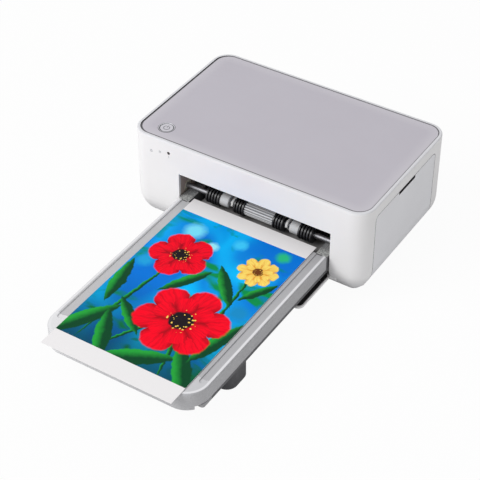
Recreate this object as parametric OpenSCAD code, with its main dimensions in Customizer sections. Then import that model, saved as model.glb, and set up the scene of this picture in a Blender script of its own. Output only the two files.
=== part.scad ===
// Compact photo printer, with its paper cassette in place and a finished print lying on the cover.
// X runs along the front, Y from the front to the rear, Z up. The origin is on the desk, under the
// middle of the whole object. Depths named _u are measured from the housing's front face.

/* [Housing] */
// Width of the housing
body_w = 194.5; // [190:0.5:200]
// Depth of the housing
body_d = 123; // [121:0.5:130]
// Height of the top rim above the desk
body_h = 84; // [83.5:0.5:90]
// Wall thickness of the housing
wall = 2.2; // [1.8:0.1:2.4]
// Plan radius of the upright corners
corner_r = 13.5; // [11:0.5:15]
// Radius of the rounded underside
belly_r = 26; // [24:0.5:28]
// Radius of the rim's outer edge
rim_edge_r = 1.2; // [0.8:0.1:1.6]
// Width of the rim round the top plate
rim_w = 2.4; // [2:0.1:3]
// Height of the rubber feet
foot_h = 3.6; // [3:0.1:4]
// Radius of the rubber feet
foot_r = 6; // [5:0.5:7]
// Height of the seam between the upper and lower housing
seam_z = 11; // [10:0.5:12]
// Gap round panels, covers and doors
panel_gap = 0.4; // [0.3:0.05:0.5]

/* [Front opening and flap] */
// Distance of the opening's middle from the housing's middle
opening_x = 7.6; // [6:0.2:9]
// Width of the front opening
opening_w = 126; // [125.6:0.2:128]
// Height of the opening's upper edge
lintel_z = 59.4; // [59:0.2:61]
// Thickness of the flap
flap_t = 2; // [1.8:0.1:2.2]
// Height of the flap's upper face when it is folded down
flap_z = 19.3; // [18.5:0.1:19.6]
// Length of the flap beyond the front face
flap_reach = 37.6; // [36:0.1:37.7]
// Radius of the flap's outer corners
flap_corner_r = 4.5; // [3:0.5:6]
// Radius of the flap's hinge barrel
flap_barrel_r = 1.3; // [1.2:0.05:1.4]
// Radius of the flap's hinge pins
flap_pin_r = 0.75; // [0.7:0.01:0.8]

/* [Ribbon door] */
// Depth at which the door starts
door_u = 14.8; // [13:0.2:16]
// Length of the door, front to back
door_len = 88.2; // [84:0.2:90]
// Height of the door's upper edge
door_top_z = 75; // [74:0.2:76]
// Angle of the hinge below the level of the underside's centre
door_hinge_angle = 30; // [26:1:32]
// Radius of the door's hinge barrel
door_barrel_r = 2.6; // [2.5:0.05:2.8]
// Radius of the door's hinge pins
door_pin_r = 0.9; // [0.8:0.05:1]
// Length of the finger slot
finger_len = 24; // [20:0.5:28]
// Height of the finger slot
finger_h = 2.5; // [2:0.1:3]

/* [Power button] */
// Distance of the button from the housing's middle, to the left
button_x = 75.5; // [74:0.5:77]
// Depth of the button
button_u = 15.3; // [15:0.1:17]
// Outer radius of the button's ring
ring_r = 6.25; // [6:0.05:6.5]
// Radius of the button's cap
button_r = 5.32; // [5:0.01:5.4]
// Travel of the button
button_travel = 0.8; // [0.5:0.1:1]

/* [Cassette] */
// Width of the cassette
tray_w = 124.4; // [123:0.1:124.6]
// Length of the cassette's nose, in front of the paper stack
tray_nose = 11.4; // [11:0.1:12.4]
// Length of the cassette inside the housing
tray_in = 24; // [22:0.5:24.5]
// Height of the cassette's underside
tray_z = 25.5; // [25:0.1:26.2]
// Height of the cassette's upper face
tray_top_z = 39.8; // [39.5:0.1:40.2]
// Wall thickness of the cassette
tray_wall = 2; // [1.8:0.1:2.2]
// Plan radius of the cassette's front corners
tray_corner_r = 17; // [14:0.5:18]
// Length of the dark rear end that the cover leaves free
tray_tail = 26.5; // [26:0.5:28]
// Depth of the cassette's leg
leg_d = 25; // [20:0.5:28]
// Distance of the leg from the cassette's front end
leg_back = 51; // [48:0.5:56]
// Radius of the cover's hinge pins
cover_pin_r = 1.5; // [1.3:0.05:1.6]

/* [Paper] */
// Width of the paper
paper_w = 102.6; // [100:0.2:103]
// Length of the picture on the print
image_len = 148; // [146:0.5:149]
// Length of the white tab at the print's rear end
rear_tab = 14.4; // [13:0.2:15]
// Length of the white tab at the print's front end
front_tab = 15.7; // [15:0.1:17]
// Length of the print inside the front face
print_in = 2.1; // [1:0.1:2.2]
// Thickness of one print
print_t = 0.3; // [0.25:0.01:0.35]
// Height of the paper stack
stack_h = 2.8; // [2:0.2:3]

/* [Feed rollers] */
// Depth of the feed shaft
feed_u = 12; // [11.5:0.1:12.5]
// Height of the feed shaft
feed_z = 41.8; // [41.7:0.1:42.4]
// Radius of the feed shaft
feed_shaft_r = 2; // [1.8:0.1:2.2]
// Radius of the feed rollers
feed_roller_r = 5; // [4.8:0.1:5.2]
// Radius of the black collars' ribs
collar_r = 6.3; // [6:0.1:6.4]
// Width of the fluted centre roller
centre_roller_w = 24; // [22:0.5:24.6]
// Width of the side rollers
side_roller_w = 7.4; // [6:0.2:7.8]
// Distance of the side rollers' middles from the opening's middle
side_roller_x = 29.4; // [29:0.1:29.8]

/* [Print engine] */
// Radius of the platen roller
platen_r = 6; // [5.5:0.1:6.2]
// Depth of the platen roller
platen_u = 60; // [59:0.5:60.5]
// Radius of the grip roller
grip_r = 4; // [3.5:0.1:4.2]
// Depth of the grip roller
grip_u = 78; // [77.5:0.1:79]
// Height of the paper path
path_z = 41.4; // [41:0.1:41.6]
// Radius of the pinch roller
pinch_r = 2.5; // [2.2:0.1:2.6]
// Radius of the supply and take-up spools' cores
spool_r = 5; // [4.6:0.1:5.2]
// Depth of the supply spool
supply_u = 36; // [35.5:0.5:36.5]
// Module of the gears
gear_m = 0.8; // [0.78:0.01:0.82]
// Teeth on the grip roller's gear
grip_teeth = 36; // [36:1:37]
// Teeth on the motor's pinion
pinion_teeth = 14; // [14:1:15]
// Teeth on the take-up spool's gear
takeup_teeth = 25; // [24:1:25]
// Teeth on the feed shaft's gear
feed_teeth = 20; // [19:1:21]
// Teeth on each idler gear
idler_teeth = 30; // [29:1:31]
// Radius of the drive motor
motor_r = 13; // [12:0.5:13.5]
// Thickness of the chassis plates
plate_t = 1.2; // [1:0.1:1.5]

/* [Hidden] */
$fn = 48;
tiny = 0.01;
run = 0.05;                    // radial clearance of a running fit
seat = 0.02;                   // clearance of a pressed or seated piece
free = 0.3;                    // clearance between pieces that move past each other

// Places of the main forms
print_len = image_len + rear_tab + front_tab;
reach = print_len - print_in;                  // how far the print lies in front of the housing
front_y = reach / 2 - body_d / 2;
mid_y = front_y + body_d / 2;
opening_l = opening_x - opening_w / 2;
opening_r = opening_x + opening_w / 2;
plate_seat_z = body_h - 2.4;                   // top of the ledge under the top plate
top_plate_t = 2;
ledge_t = 2;
ledge_w = 4.4;

// Front flap: its hinge lies in the rounded foot of the front, one barrel radius above its outer face
flap_under_z = flap_z - flap_t;
flap_axis_u = 2.9;
flap_knuckle_r = 1.7;
flap_axis_z = flap_under_z + flap_barrel_r;
flap_boss_l = 4;

// Lining of the opening and the chassis plates outside it
lining_t = 1.6;
lining_d = 21;
lining_back_t = 1.4;
lining_top_z = lintel_z + 0.2;
plate_l = opening_l - lining_t - 0.4;          // inner face of the left chassis plate
plate_r = opening_r + lining_t + 0.4;          // inner face of the right chassis plate

// Ribbon door hinge, held inside the rounded underside
belly_x = body_w / 2 - belly_r;
belly_z = foot_h + belly_r;
door_axis_x = belly_x + (belly_r - door_barrel_r) * cos(door_hinge_angle);
door_axis_z = belly_z - (belly_r - door_barrel_r) * sin(door_hinge_angle);
door_corner_r = 3.5;
door_ear = 5;
striker_w = 12;
striker_z = door_top_z - 8;

// Cassette
tray_l = opening_x - tray_w / 2;
tray_r = opening_x + tray_w / 2;
tray_front_u = tray_in - 1 - print_len - tray_nose;
tray_floor_t = 2.4;
cover_rear_u = tray_in - tray_tail;            // the cover ends just in front of the housing
hinge_u = tray_front_u + 6;
hinge_z = tray_z + 3;
base_front_u = hinge_u + 3.6;
skirt_z = tray_z + tray_floor_t + free;
inner_wall_x = tray_w / 2 - tray_wall - 0.4;   // outer face of the dark base's own walls
base_wall_t = 1.8;
base_wall_z = tray_top_z - tray_wall - 1.2;
lift_t = 1;
lift_z = tray_z + tray_floor_t + 0.5;
stack_z = lift_z + lift_t + 0.1;
stack_len = print_len;
shoulder_x = paper_w / 2 + 2.2;                // inner side of the dark shoulders at the rear
print_z = tray_top_z + 0.4;

// Print engine
grip_z = path_z - grip_r;
pinch_z = path_z + print_t + pinch_r;
platen_z = path_z - platen_r;
gear_x1 = plate_l - plate_t - 1.2;               // inner face of the gears
gear_w = 5;
gear_x0 = gear_x1 - gear_w;
function centre_gap(a, b) = gear_m * (a + b) / 2;
function polar(from, d, a) = [from[0] + d * cos(a), from[1] + d * sin(a)];
function meet(p, rp, q, rq, side) =
    let (d = norm(q - p), a = (d * d + rp * rp - rq * rq) / (2 * d), h = sqrt(rp * rp - a * a))
    p + (q - p) * a / d + side * h / d * [p[1] - q[1], q[0] - p[0]];
grip_at = [grip_u, grip_z];
feed_at = [feed_u, feed_z];
motor_angle = -38;
motor_at = polar(grip_at, centre_gap(grip_teeth, pinion_teeth), motor_angle);
takeup_angle = 71;
takeup_at = polar(grip_at, centre_gap(grip_teeth, takeup_teeth), takeup_angle);
idler_a_angle = -5;
idler_a_at = polar(feed_at, centre_gap(feed_teeth, idler_teeth), idler_a_angle);
idler_b_at = meet(idler_a_at, centre_gap(idler_teeth, idler_teeth),
                  grip_at, centre_gap(grip_teeth, idler_teeth), -1);
supply_at = [supply_u, takeup_at[1]];
// A gear's turn that puts its gap on the tooth of the gear it meets
function met(from, turn, teeth, to, to_teeth) =
    let (a = atan2(to[1] - from[1], to[0] - from[0]))
    a + 180 + ((a - turn) * teeth / 360 + 0.5) * 360 / to_teeth;
motor_turn = met(grip_at, 0, grip_teeth, motor_at, pinion_teeth);
takeup_turn = met(grip_at, 0, grip_teeth, takeup_at, takeup_teeth);
idler_b_turn = met(grip_at, 0, grip_teeth, idler_b_at, idler_teeth);
idler_a_turn = met(idler_b_at, idler_b_turn, idler_teeth, idler_a_at, idler_teeth);
feed_turn = met(idler_a_at, idler_a_turn, idler_teeth, feed_at, feed_teeth);
post_r = 2;
hub_r = 3;
journal_r = 2.5;
bush_r = 4;
bush_flange_r = 5.2;
plate_top_z = body_h - 6;
plate_rear_u = body_d - 5;
pivot_u = plate_rear_u - 12;
pivot_z = plate_top_z - 7;
head_plate_z = plate_top_z - 2.8;              // underside of the head arm
pivot_r = 2;
head_l = opening_x - 51;
head_r = opening_x + 51;
case_l = opening_x - 58;
case_r = opening_x + 58;
case_tube_r = 12.6;
case_tube_t = 1.2;
roll_r = 8.6;
motor_l = 22;
board_z = foot_h + wall + 2.4;
board_t = 1.6;
board_front_u = 32;
board_rear_u = body_d - 18;
foot_x = body_w / 2 - 39.25;
foot_y = body_d / 2 - 35.5;
screw_x = body_w / 2 - 16.25;
screw_y = body_d / 2 - 16.5;
boss_r = 4;
plate_foot_z = foot_h + wall + 0.2;

// A piece of an outline in depth and height, drawn out along X
module along_x(x0, x1) {
    translate([x0, front_y, 0]) rotate([90, 0, 90]) linear_extrude(x1 - x0) children();
}

// A round bar along X
module rod_x(x0, x1, at, r) {
    translate([x0, front_y + at[0], at[1]]) rotate([0, 90, 0]) cylinder(h = x1 - x0, r = r);
}

// A round bar along Y
module rod_y(u0, u1, x, z, r) {
    translate([x, front_y + u0, z]) rotate([-90, 0, 0]) cylinder(h = u1 - u0, r = r);
}

// A block between two planes on each axis
module block(x, u, z) {
    translate([x[0], front_y + u[0], z[0]]) cube([x[1] - x[0], u[1] - u[0], z[1] - z[0]]);
}

// A rectangle with round corners, about its middle
module round_rect(w, d, r) {
    square([w - 2 * r, d], center = true);
    square([w, d - 2 * r], center = true);
    for (sx = [-1, 1], sy = [-1, 1])
        translate([sx * (w / 2 - r), sy * (d / 2 - r)]) circle(r);
}

// Half of the housing's section, from the middle out to its side
module half_section(half, z0, z1, rb, rt) {
    intersection() {
        translate([0, z0]) square([half, z1 - z0]);
        union() {
            translate([half - rb, z0 + rb]) circle(rb);
            translate([-rb, z0 + rb]) square([half + rb, z1 - rt - z0 - rb]);
            translate([-rb, z0]) square([half, rb + tiny]);
            translate([half - rt, z1 - rt]) circle(rt);
            translate([-rb, z1 - rt - tiny]) square([half + rb - rt, rt + tiny]);
        }
    }
}

module section(half, z0, z1, rb, rt) {
    half_section(half, z0, z1, rb, rt);
    mirror([1, 0]) half_section(half, z0, z1, rb, rt);
}

// The housing's form: upright corners of radius rc and a rounded underside of radius rb
module body_form(w, d, z0, z1, rc, rb, rt) {
    translate([0, mid_y, 0]) intersection() {
        rotate([90, 0, 90]) linear_extrude(w, center = true) section(d / 2, z0, z1, rb, rt);
        rotate([90, 0, 0]) linear_extrude(d, center = true) section(w / 2, z0, z1, rb, rt);
        union() {
            rotate([90, 0, 90]) linear_extrude(w - 2 * rc, center = true) section(d / 2, z0, z1, rb, rt);
            rotate([90, 0, 0]) linear_extrude(d - 2 * rc, center = true) section(w / 2, z0, z1, rb, rt);
            for (sx = [-1, 1], sy = [-1, 1])
                translate([sx * (w / 2 - rc), sy * (d / 2 - rc), 0])
                    rotate_extrude() half_section(rc, z0, z1, rb, rt);
        }
    }
}

module outer_form() {
    body_form(body_w, body_d, foot_h, body_h, corner_r, belly_r, rim_edge_r);
}

module inner_form() {
    body_form(body_w - 2 * wall, body_d - 2 * wall, foot_h + wall, plate_seat_z - ledge_t,
              corner_r - wall, belly_r - wall, rim_edge_r);
}

// The door's outline seen from the side, grown by gap
module door_outline(gap) {
    x0 = door_u - gap;
    x1 = door_u + door_len + gap;
    r = door_corner_r + gap;
    translate([x0, foot_h]) square([x1 - x0, door_top_z + gap - r - foot_h]);
    translate([x0 + r, foot_h]) square([x1 - x0 - 2 * r, door_top_z + gap - foot_h]);
    for (x = [x0 + r, x1 - r])
        translate([x, door_top_z + gap - r]) circle(r);
}

// The part of the right wall above the hinge line that belongs to the door
module door_zone(gap) {
    far = 60;
    intersection() {
        along_x(belly_x, body_w / 2 + 1) door_outline(gap);
        translate([0, mid_y, 0]) rotate([90, 0, 0]) linear_extrude(body_d, center = true)
            polygon([[belly_x, belly_z],
                     [belly_x + far * cos(door_hinge_angle), belly_z - far * sin(door_hinge_angle)],
                     [belly_x + far, body_h], [belly_x, body_h]]);
    }
}

// Outline of a spur gear: involute flanks, a little backlash
module gear_outline(teeth, turn) {
    rp = gear_m * teeth / 2;
    rb = rp * cos(20);
    ra = rp + 0.9 * gear_m;
    rf = rp - 1.2 * gear_m;
    inv20 = tan(20) * 180 / PI - 20;
    half = 90 / teeth - 0.07 / rp * 180 / PI;
    steps = [rf, max(rb, rf + 0.05), rp, (rp + ra) / 2, ra];
    function at(r) = let (c = acos(min(1, rb / r))) half + inv20 - (r > rb ? tan(c) * 180 / PI - c : 0);
    rotate(turn) polygon([for (i = [0 : teeth - 1]) each concat(
        [for (k = [0 : 4]) steps[k] * [cos(i * 360 / teeth - at(steps[k])), sin(i * 360 / teeth - at(steps[k]))]],
        [for (k = [4 : -1 : 0]) steps[k] * [cos(i * 360 / teeth + at(steps[k])), sin(i * 360 / teeth + at(steps[k]))]])]);
}

// A gear on an axis along X, with a hub and a bore
module gear(at, teeth, turn, bore_r) {
    difference() {
        union() {
            along_x(gear_x0, gear_x1) translate(at) gear_outline(teeth, turn);
            rod_x(gear_x0 - 0.8, gear_x1 + 0.6, at, bore_r + 1.6);
        }
        rod_x(gear_x0 - 2, gear_x1 + 2, at, bore_r);
        if (teeth > 20)
            difference() {
                rod_x(gear_x0 - tiny, gear_x0 + 1.4, at, gear_m * teeth / 2 - 2.4);
                rod_x(gear_x0 - 1, gear_x0 + 2, at, bore_r + 1.6);
            }
    }
}

module housing_shell() {
    color("whitesmoke") {
        difference() {
            outer_form();
            inner_form();
            // everything below the seam belongs to the base pan
            translate([-body_w, front_y - 1, -1]) cube([2 * body_w, body_d + 2, seam_z + 1]);
            // recess of the top plate, and the window inside its ledge
            translate([0, mid_y, plate_seat_z]) linear_extrude(body_h)
                round_rect(body_w - 2 * rim_w, body_d - 2 * rim_w, corner_r - rim_w);
            translate([0, mid_y, plate_seat_z - ledge_t - 1]) linear_extrude(body_h)
                round_rect(body_w - 2 * (rim_w + ledge_w), body_d - 2 * (rim_w + ledge_w),
                           corner_r - rim_w - ledge_w);
            block([opening_l, opening_r], [-1, wall + 3], [flap_under_z - free, lintel_z]);
            door_zone(panel_gap);
            rod_y(door_u - panel_gap, door_u + door_len + panel_gap, door_axis_x, door_axis_z,
                  door_barrel_r + free);
            door_swing_gap();
            status_holes(lens_r + seat);
            rear_slot(bezel_w, [body_d - wall - 1, body_d + 1]);
            rear_vents();
            inlet_hole();
            rod_x(opening_l - flap_boss_l, opening_r + flap_boss_l, [flap_axis_u, flap_axis_z],
                  flap_pin_r + seat);
            rod_y(door_u - panel_gap - door_ear, door_u + door_len + panel_gap + door_ear,
                  door_axis_x, door_axis_z, door_pin_r + seat);
        }
        flap_bosses();
        door_bosses();
        screw_posts();
    }
}

// Room below the hinge line for the door's skin when the door hangs open
module door_swing_gap() {
    deep = door_barrel_r + free;
    out = [cos(door_hinge_angle), -sin(door_hinge_angle)];
    down = [-sin(door_hinge_angle), -cos(door_hinge_angle)];
    axis = [door_axis_x, door_axis_z];
    block_profile_y(door_u - panel_gap, door_u + door_len + panel_gap)
        polygon([axis, axis + 4 * out, axis + 4 * out + deep * down, axis + deep * down]);
}

// Knuckles on the front wall that carry the flap's pins
module flap_bosses() {
    for (x = [[opening_l - flap_boss_l - 1, opening_l], [opening_r, opening_r + flap_boss_l + 1]])
        difference() {
            union() {
                rod_x(x[0], x[1], [flap_axis_u, flap_axis_z], flap_knuckle_r);
                block(x, [flap_axis_u, wall + 3], [flap_axis_z - flap_knuckle_r, flap_axis_z + flap_knuckle_r]);
            }
            rod_x(x[0] - 1, x[1] + 1, [flap_axis_u, flap_axis_z], flap_pin_r + seat);
        }
}

// Bosses inside the rounded underside that carry the door's pins
module door_bosses() {
    for (u = [[door_u - panel_gap - door_ear, door_u - panel_gap],
              [door_u + door_len + panel_gap, door_u + door_len + panel_gap + door_ear]])
        difference() {
            rod_y(u[0], u[1], door_axis_x, door_axis_z, door_barrel_r);
            rod_y(u[0] - 1, u[1] + 1, door_axis_x, door_axis_z, door_pin_r + seat);
        }
}

// Posts that take the case screws, each with a web to the nearer wall
module screw_posts() {
    for (sx = [-1, 1], sy = [-1, 1])
        translate([sx * screw_x, mid_y + sy * screw_y, seam_z]) difference() {
            union() {
                cylinder(h = post_h, r = boss_r);
                translate([0, -sy * screw_y, -seam_z]) rotate([90, 0, sy * 90]) linear_extrude(2, center = true)
                    intersection() {
                        half_section(body_d / 2 - wall / 2, foot_h + wall / 2, body_h, belly_r - wall / 2, 1);
                        translate([screw_y, seam_z]) square([body_d, post_h]);
                    }
            }
            translate([0, 0, -1]) cylinder(h = 14, r = screw_r - 0.25);
        }
}
screw_r = 1.5;
post_h = 18;

lens_r = 1.2;
lens_x = [18.55 - body_w / 2, 26.05 - body_w / 2];
lens_z = [body_h - 12.7, body_h - 11];
sensor_at = [33.65 - body_w / 2, body_h - 9.3];

module status_holes(r) {
    for (i = [0, 1])
        rod_y(-1, wall + 1, lens_x[i], lens_z[i], r);
    rod_y(-1, wall + 1, sensor_at[0], sensor_at[1], r);
}

bezel_w = 4;
// The paper slot in the rear wall, grown by gap on each side
module rear_slot(gap, u) {
    block([opening_x - 57 - gap, opening_x + 57 + gap], u, [path_z - 3.4 - gap, path_z + 4.2 + gap]);
}

// Dark frame of the rear slot, clipped into the wall from inside
module slot_bezel() {
    color("dimgray") difference() {
        union() {
            rear_slot(bezel_w - seat, [body_d - wall - 0.5, body_d - 0.3]);
            rear_slot(bezel_w + 1.5, [body_d - wall - 1.4, body_d - wall - seat]);
        }
        rear_slot(0, [body_d - wall - 3, body_d + 1]);
    }
}

vent_n = 9;
vent_pitch = 3.4;
module rear_vents() {
    for (i = [0 : vent_n - 1])
        block([-body_w / 2 + 17 + i * vent_pitch, -body_w / 2 + 18.6 + i * vent_pitch],
              [body_d - wall - 1, body_d + 1], [50, 68]);
}

inlet_x = 44;
inlet_w = 9.4;
inlet_h = 11;
module inlet_hole() {
    block([inlet_x - inlet_w / 2 - 0.3, inlet_x + inlet_w / 2 + 0.3],
          [body_d - 18, body_d + 1], [board_z + board_t - 0.3, board_z + board_t + inlet_h + 0.3]);
}

// The underside's form below the seam, as one smooth hull of its level sections
module bowl(inset, top) {
    r = belly_r - inset;
    z0 = foot_h + inset;
    steps = 10;
    function turn(i) = acos((r - top + z0) / r) * i / steps;
    hull()
        for (i = [0 : steps]) {
            in = inset + r * (1 - sin(turn(i)));
            translate([0, mid_y, z0 + r * (1 - cos(turn(i)))]) linear_extrude(tiny)
                round_rect(body_w - 2 * in, body_d - 2 * in, max(corner_r - in, 1));
        }
}

module base_pan() {
    color("gainsboro") {
        difference() {
            bowl(0, seam_z);
            bowl(wall, seam_z + 1);
            for (sx = [-1, 1], sy = [-1, 1]) {
                translate([sx * foot_x, mid_y + sy * foot_y, foot_h - 1]) cylinder(h = 1.8, r = foot_r + seat);
                translate([sx * screw_x, mid_y + sy * screw_y, 0]) cylinder(h = 8, r = 3.2);
                translate([sx * screw_x, mid_y + sy * screw_y, 0]) cylinder(h = seam_z + 1, r = screw_r + 0.2);
            }
            inlet_hole();
            // air slots under the board
            for (i = [0 : 7])
                translate([-14 + i * 6, mid_y - 12, 0]) cube([2, 24, foot_h + wall + 1]);
        }
        for (sx = [-1, 1], sy = [-1, 1])
            translate([sx * screw_x, mid_y + sy * screw_y, 0]) difference() {
                translate([0, 0, 8 - 1.4]) cylinder(h = seam_z - 8 + 1.4, r = boss_r);
                translate([0, 0, -1]) cylinder(h = 9, r = 3.2);
                cylinder(h = seam_z + 1, r = screw_r + 0.2);
            }
        // standoffs of the main board
        for (x = board_screw_x, u = board_screw_u)
            difference() {
                translate([x, front_y + u, foot_h + wall - tiny]) cylinder(h = board_z - foot_h - wall + tiny, r = 3);
                translate([x, front_y + u, foot_h + wall]) cylinder(h = 10, r = 1.1);
            }
    }
}
board_l = -50;
board_r = 62;
board_screw_x = [board_l + 5, board_r - 5];
board_screw_u = [board_front_u + 5, board_rear_u - 20];

module rubber_feet() {
    color("dimgray")
        for (sx = [-1, 1], sy = [-1, 1])
            translate([sx * foot_x, mid_y + sy * foot_y, 0]) rotate_extrude()
                polygon([[0, 0], [foot_r - 0.8, 0], [foot_r, 0.8], [foot_r, foot_h + 0.8], [0, foot_h + 0.8]]);
}

module case_screws() {
    color("silver")
        for (sx = [-1, 1], sy = [-1, 1])
            translate([sx * screw_x, mid_y + sy * screw_y, 8 - 2.2]) difference() {
                union() {
                    cylinder(h = 2.2, r = 2.8);
                    cylinder(h = 12, r = screw_r - 0.27);
                }
                translate([0, 0, -1]) cylinder(h = 2.2, r = 1, $fn = 6);
            }
}

module top_plate() {
    w = body_w - 2 * rim_w - panel_gap;
    d = body_d - 2 * rim_w - panel_gap;
    r = corner_r - rim_w - panel_gap / 2;
    edge = 0.5;
    color("lavender") {
        difference() {
            body_form(w, d, plate_seat_z, plate_seat_z + top_plate_t, r, 0.2, edge);
            translate([-button_x, front_y + button_u, plate_seat_z - 1]) cylinder(h = 5, r = ring_r + 0.08);
        }
        // posts that hang the button's board
        for (s = [-1, 1])
            translate([-button_x + s * switch_post, front_y + button_u + 4, switch_z]) difference() {
                cylinder(h = plate_seat_z - switch_z + tiny, r = 2);
                translate([0, 0, -1]) cylinder(h = 8, r = 0.9);
            }
    }
}
switch_post = 11;
switch_z = plate_seat_z - 10.2;

ring_low = 2.6;
module button_ring() {
    color("silver") translate([-button_x, front_y + button_u, 0]) rotate_extrude()
        polygon([[button_r + 0.08, plate_seat_z - ring_low], [ring_r + 1.6, plate_seat_z - ring_low],
                 [ring_r + 1.6, plate_seat_z - 1.4], [ring_r, plate_seat_z - 1.4],
                 [ring_r, plate_seat_z + top_plate_t - 0.1],
                 [ring_r - 0.25, plate_seat_z + top_plate_t + 0.15],
                 [button_r + 0.25, plate_seat_z + top_plate_t + 0.15],
                 [button_r + 0.08, plate_seat_z + top_plate_t - 0.1]]);
}

module power_button() {
    top = plate_seat_z + top_plate_t;
    low = plate_seat_z - ring_low - 0.2;
    color("white") translate([-button_x, front_y + button_u, 0]) rotate_extrude()
        polygon([[0, switch_z + 5.2], [1.4, switch_z + 5.2], [1.4, low - 0.9], [ring_r - 0.2, low - 0.9],
                 [ring_r - 0.2, low], [button_r, low], [button_r, top - 0.4], [button_r - 0.4, top - 0.1],
                 [0, top - 0.25]]);
}

module button_switch() {
    at = [-button_x, front_y + button_u];
    color("seagreen") difference() {
        translate([at[0] - 14, at[1] - 6, switch_z - 1.2]) cube([28, 14, 1.2]);
        for (s = [-1, 1])
            translate([at[0] + s * switch_post, at[1] + 4, switch_z - 3]) cylinder(h = 5, r = 1);
    }
    color("dimgray") {
        translate([at[0] - 3, at[1] - 3, switch_z]) cube([6, 6, 3.4]);
        translate([at[0], at[1], switch_z + 3.4 - tiny]) cylinder(h = 0.8, r = 1.7);
    }
    color("silver")
        for (s = [-1, 1])
            translate([at[0] + s * switch_post, at[1] + 4, switch_z - 1.2]) {
                translate([0, 0, -1.2]) cylinder(h = 1.2 + tiny, r = 1.9);
                cylinder(h = 5, r = 0.85);
            }
}

module status_lenses() {
    color("gainsboro")
        for (i = [0, 1]) {
            rod_y(0.05, wall + 1.6, lens_x[i], lens_z[i], lens_r);
            rod_y(wall + seat, wall + 0.8, lens_x[i], lens_z[i], lens_r + 0.9);
        }
}

module sensor_window() {
    color("black") {
        rod_y(-0.05, wall + 1.6, sensor_at[0], sensor_at[1], lens_r);
        rod_y(wall + seat, wall + 0.8, sensor_at[0], sensor_at[1], lens_r + 0.9);
    }
}

// Dark lining of the front opening: cheeks, and a roof with ribs
module opening_frame() {
    color("dimgray") {
        for (x = [[opening_l - lining_t, opening_l], [opening_r, opening_r + lining_t]])
            along_x(x[0], x[1]) difference() {
                polygon([[wall + 2.4, tray_z - 5], [wall + 2.4, belly_z], [wall + seat, belly_z],
                    [wall + seat, lining_top_z + lining_t], [lining_d, lining_top_z + lining_t], [lining_d, tray_z - 5]]);
                translate(feed_at) circle(bush_flange_r + free);
            }
        block([opening_l - tiny, opening_r + tiny], [wall + seat, lining_d], [lining_top_z, lining_top_z + lining_t]);
        // ribs that stiffen the roof
        for (i = [-3 : 3])
            along_x(opening_x + i * 17 - 0.7, opening_x + i * 17 + 0.7)
                polygon([[wall + 4, lining_top_z + tiny], [lining_d - lining_back_t - seat, lining_top_z + tiny],
                         [lining_d - lining_back_t - seat, lining_top_z - 4]]);
    }
}

// Rear wall of the lining, with the slot through which the print comes out over the rollers
module rear_lining() {
    color("dimgray") difference() {
        block([opening_l + seat, opening_r - seat], [lining_d - lining_back_t, lining_d],
              [feed_z + 1.9, lining_top_z - seat]);
        block([opening_x - paper_w / 2 - 3, opening_x + paper_w / 2 + 3], [0, lining_d + 1],
              [feed_z + 4.7, feed_z + 8.4]);
        for (s = [-1, 1])
            block([opening_x + s * 40 - 3, opening_x + s * 40 + 3], [0, lining_d + 1], [feed_z + 1, feed_z + 3]);
    }
}

module front_flap() {
    x0 = opening_l + panel_gap;
    x1 = opening_r - panel_gap;
    r = flap_corner_r;
    color("whitesmoke") difference() {
        union() {
            translate([0, front_y, flap_under_z]) linear_extrude(flap_t) {
                translate([x0, -flap_reach + r]) square([x1 - x0, flap_reach - r + flap_axis_u]);
                translate([x0 + r, -flap_reach]) square([x1 - x0 - 2 * r, r + tiny]);
                for (x = [x0 + r, x1 - r])
                    translate([x, -flap_reach + r]) circle(r);
            }
            rod_x(x0, x1, [flap_axis_u, flap_axis_z], flap_barrel_r);
        }
        // shallow panel between the raised rims, on the face that lies upward
        translate([0, front_y, flap_z - 0.6]) linear_extrude(2)
            translate([(x0 + x1) / 2, (-flap_reach - 3) / 2]) round_rect(x1 - x0 - 3.6, flap_reach - 6.6, 3);
        rod_x(x0 - 1, x0 + flap_boss_l + 0.5, [flap_axis_u, flap_axis_z], flap_pin_r + run);
        rod_x(x1 - flap_boss_l - 0.5, x1 + 1, [flap_axis_u, flap_axis_z], flap_pin_r + run);
    }
}

module flap_pins() {
    color("silver") {
        rod_x(opening_l - flap_boss_l, opening_l + flap_boss_l, [flap_axis_u, flap_axis_z], flap_pin_r);
        rod_x(opening_r - flap_boss_l, opening_r + flap_boss_l, [flap_axis_u, flap_axis_z], flap_pin_r);
    }
}

module ribbon_door() {
    u1 = door_u + door_len;
    mid = door_u + door_len / 2 + 1;
    color("white") {
        difference() {
            intersection() {
                difference() {
                    outer_form();
                    inner_form();
                }
                door_zone(0);
            }
            block([body_w / 2 - wall - 1, body_w / 2 + 1], [mid - finger_len / 2, mid + finger_len / 2],
                  [door_top_z - finger_h, body_h]);
            door_pin_bores();
        }
        difference() {
            rod_y(door_u, u1, door_axis_x, door_axis_z, door_barrel_r);
            door_pin_bores();
        }
        // stiffening ribs inside the door
        for (u = [door_u + 6, u1 - 7.2])
            block([body_w / 2 - wall - 2, body_w / 2 - wall + tiny], [u, u + 1.2], [belly_z, door_top_z - 5]);
        // striker that enters the catch
        block([body_w / 2 - wall - 4.4, body_w / 2 - wall + tiny], [mid - striker_w / 2, mid + striker_w / 2],
              [striker_z - 1, striker_z]);
    }
}

module door_pin_bores() {
    rod_y(door_u - 1, door_u + door_ear + 0.5, door_axis_x, door_axis_z, door_pin_r + run);
    rod_y(door_u + door_len - door_ear - 0.5, door_u + door_len + 1, door_axis_x, door_axis_z, door_pin_r + run);
}

module door_pins() {
    color("silver") {
        rod_y(door_u - panel_gap - door_ear, door_u + door_ear, door_axis_x, door_axis_z, door_pin_r);
        rod_y(door_u + door_len - door_ear, door_u + door_len + panel_gap + door_ear,
              door_axis_x, door_axis_z, door_pin_r);
    }
}

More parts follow.
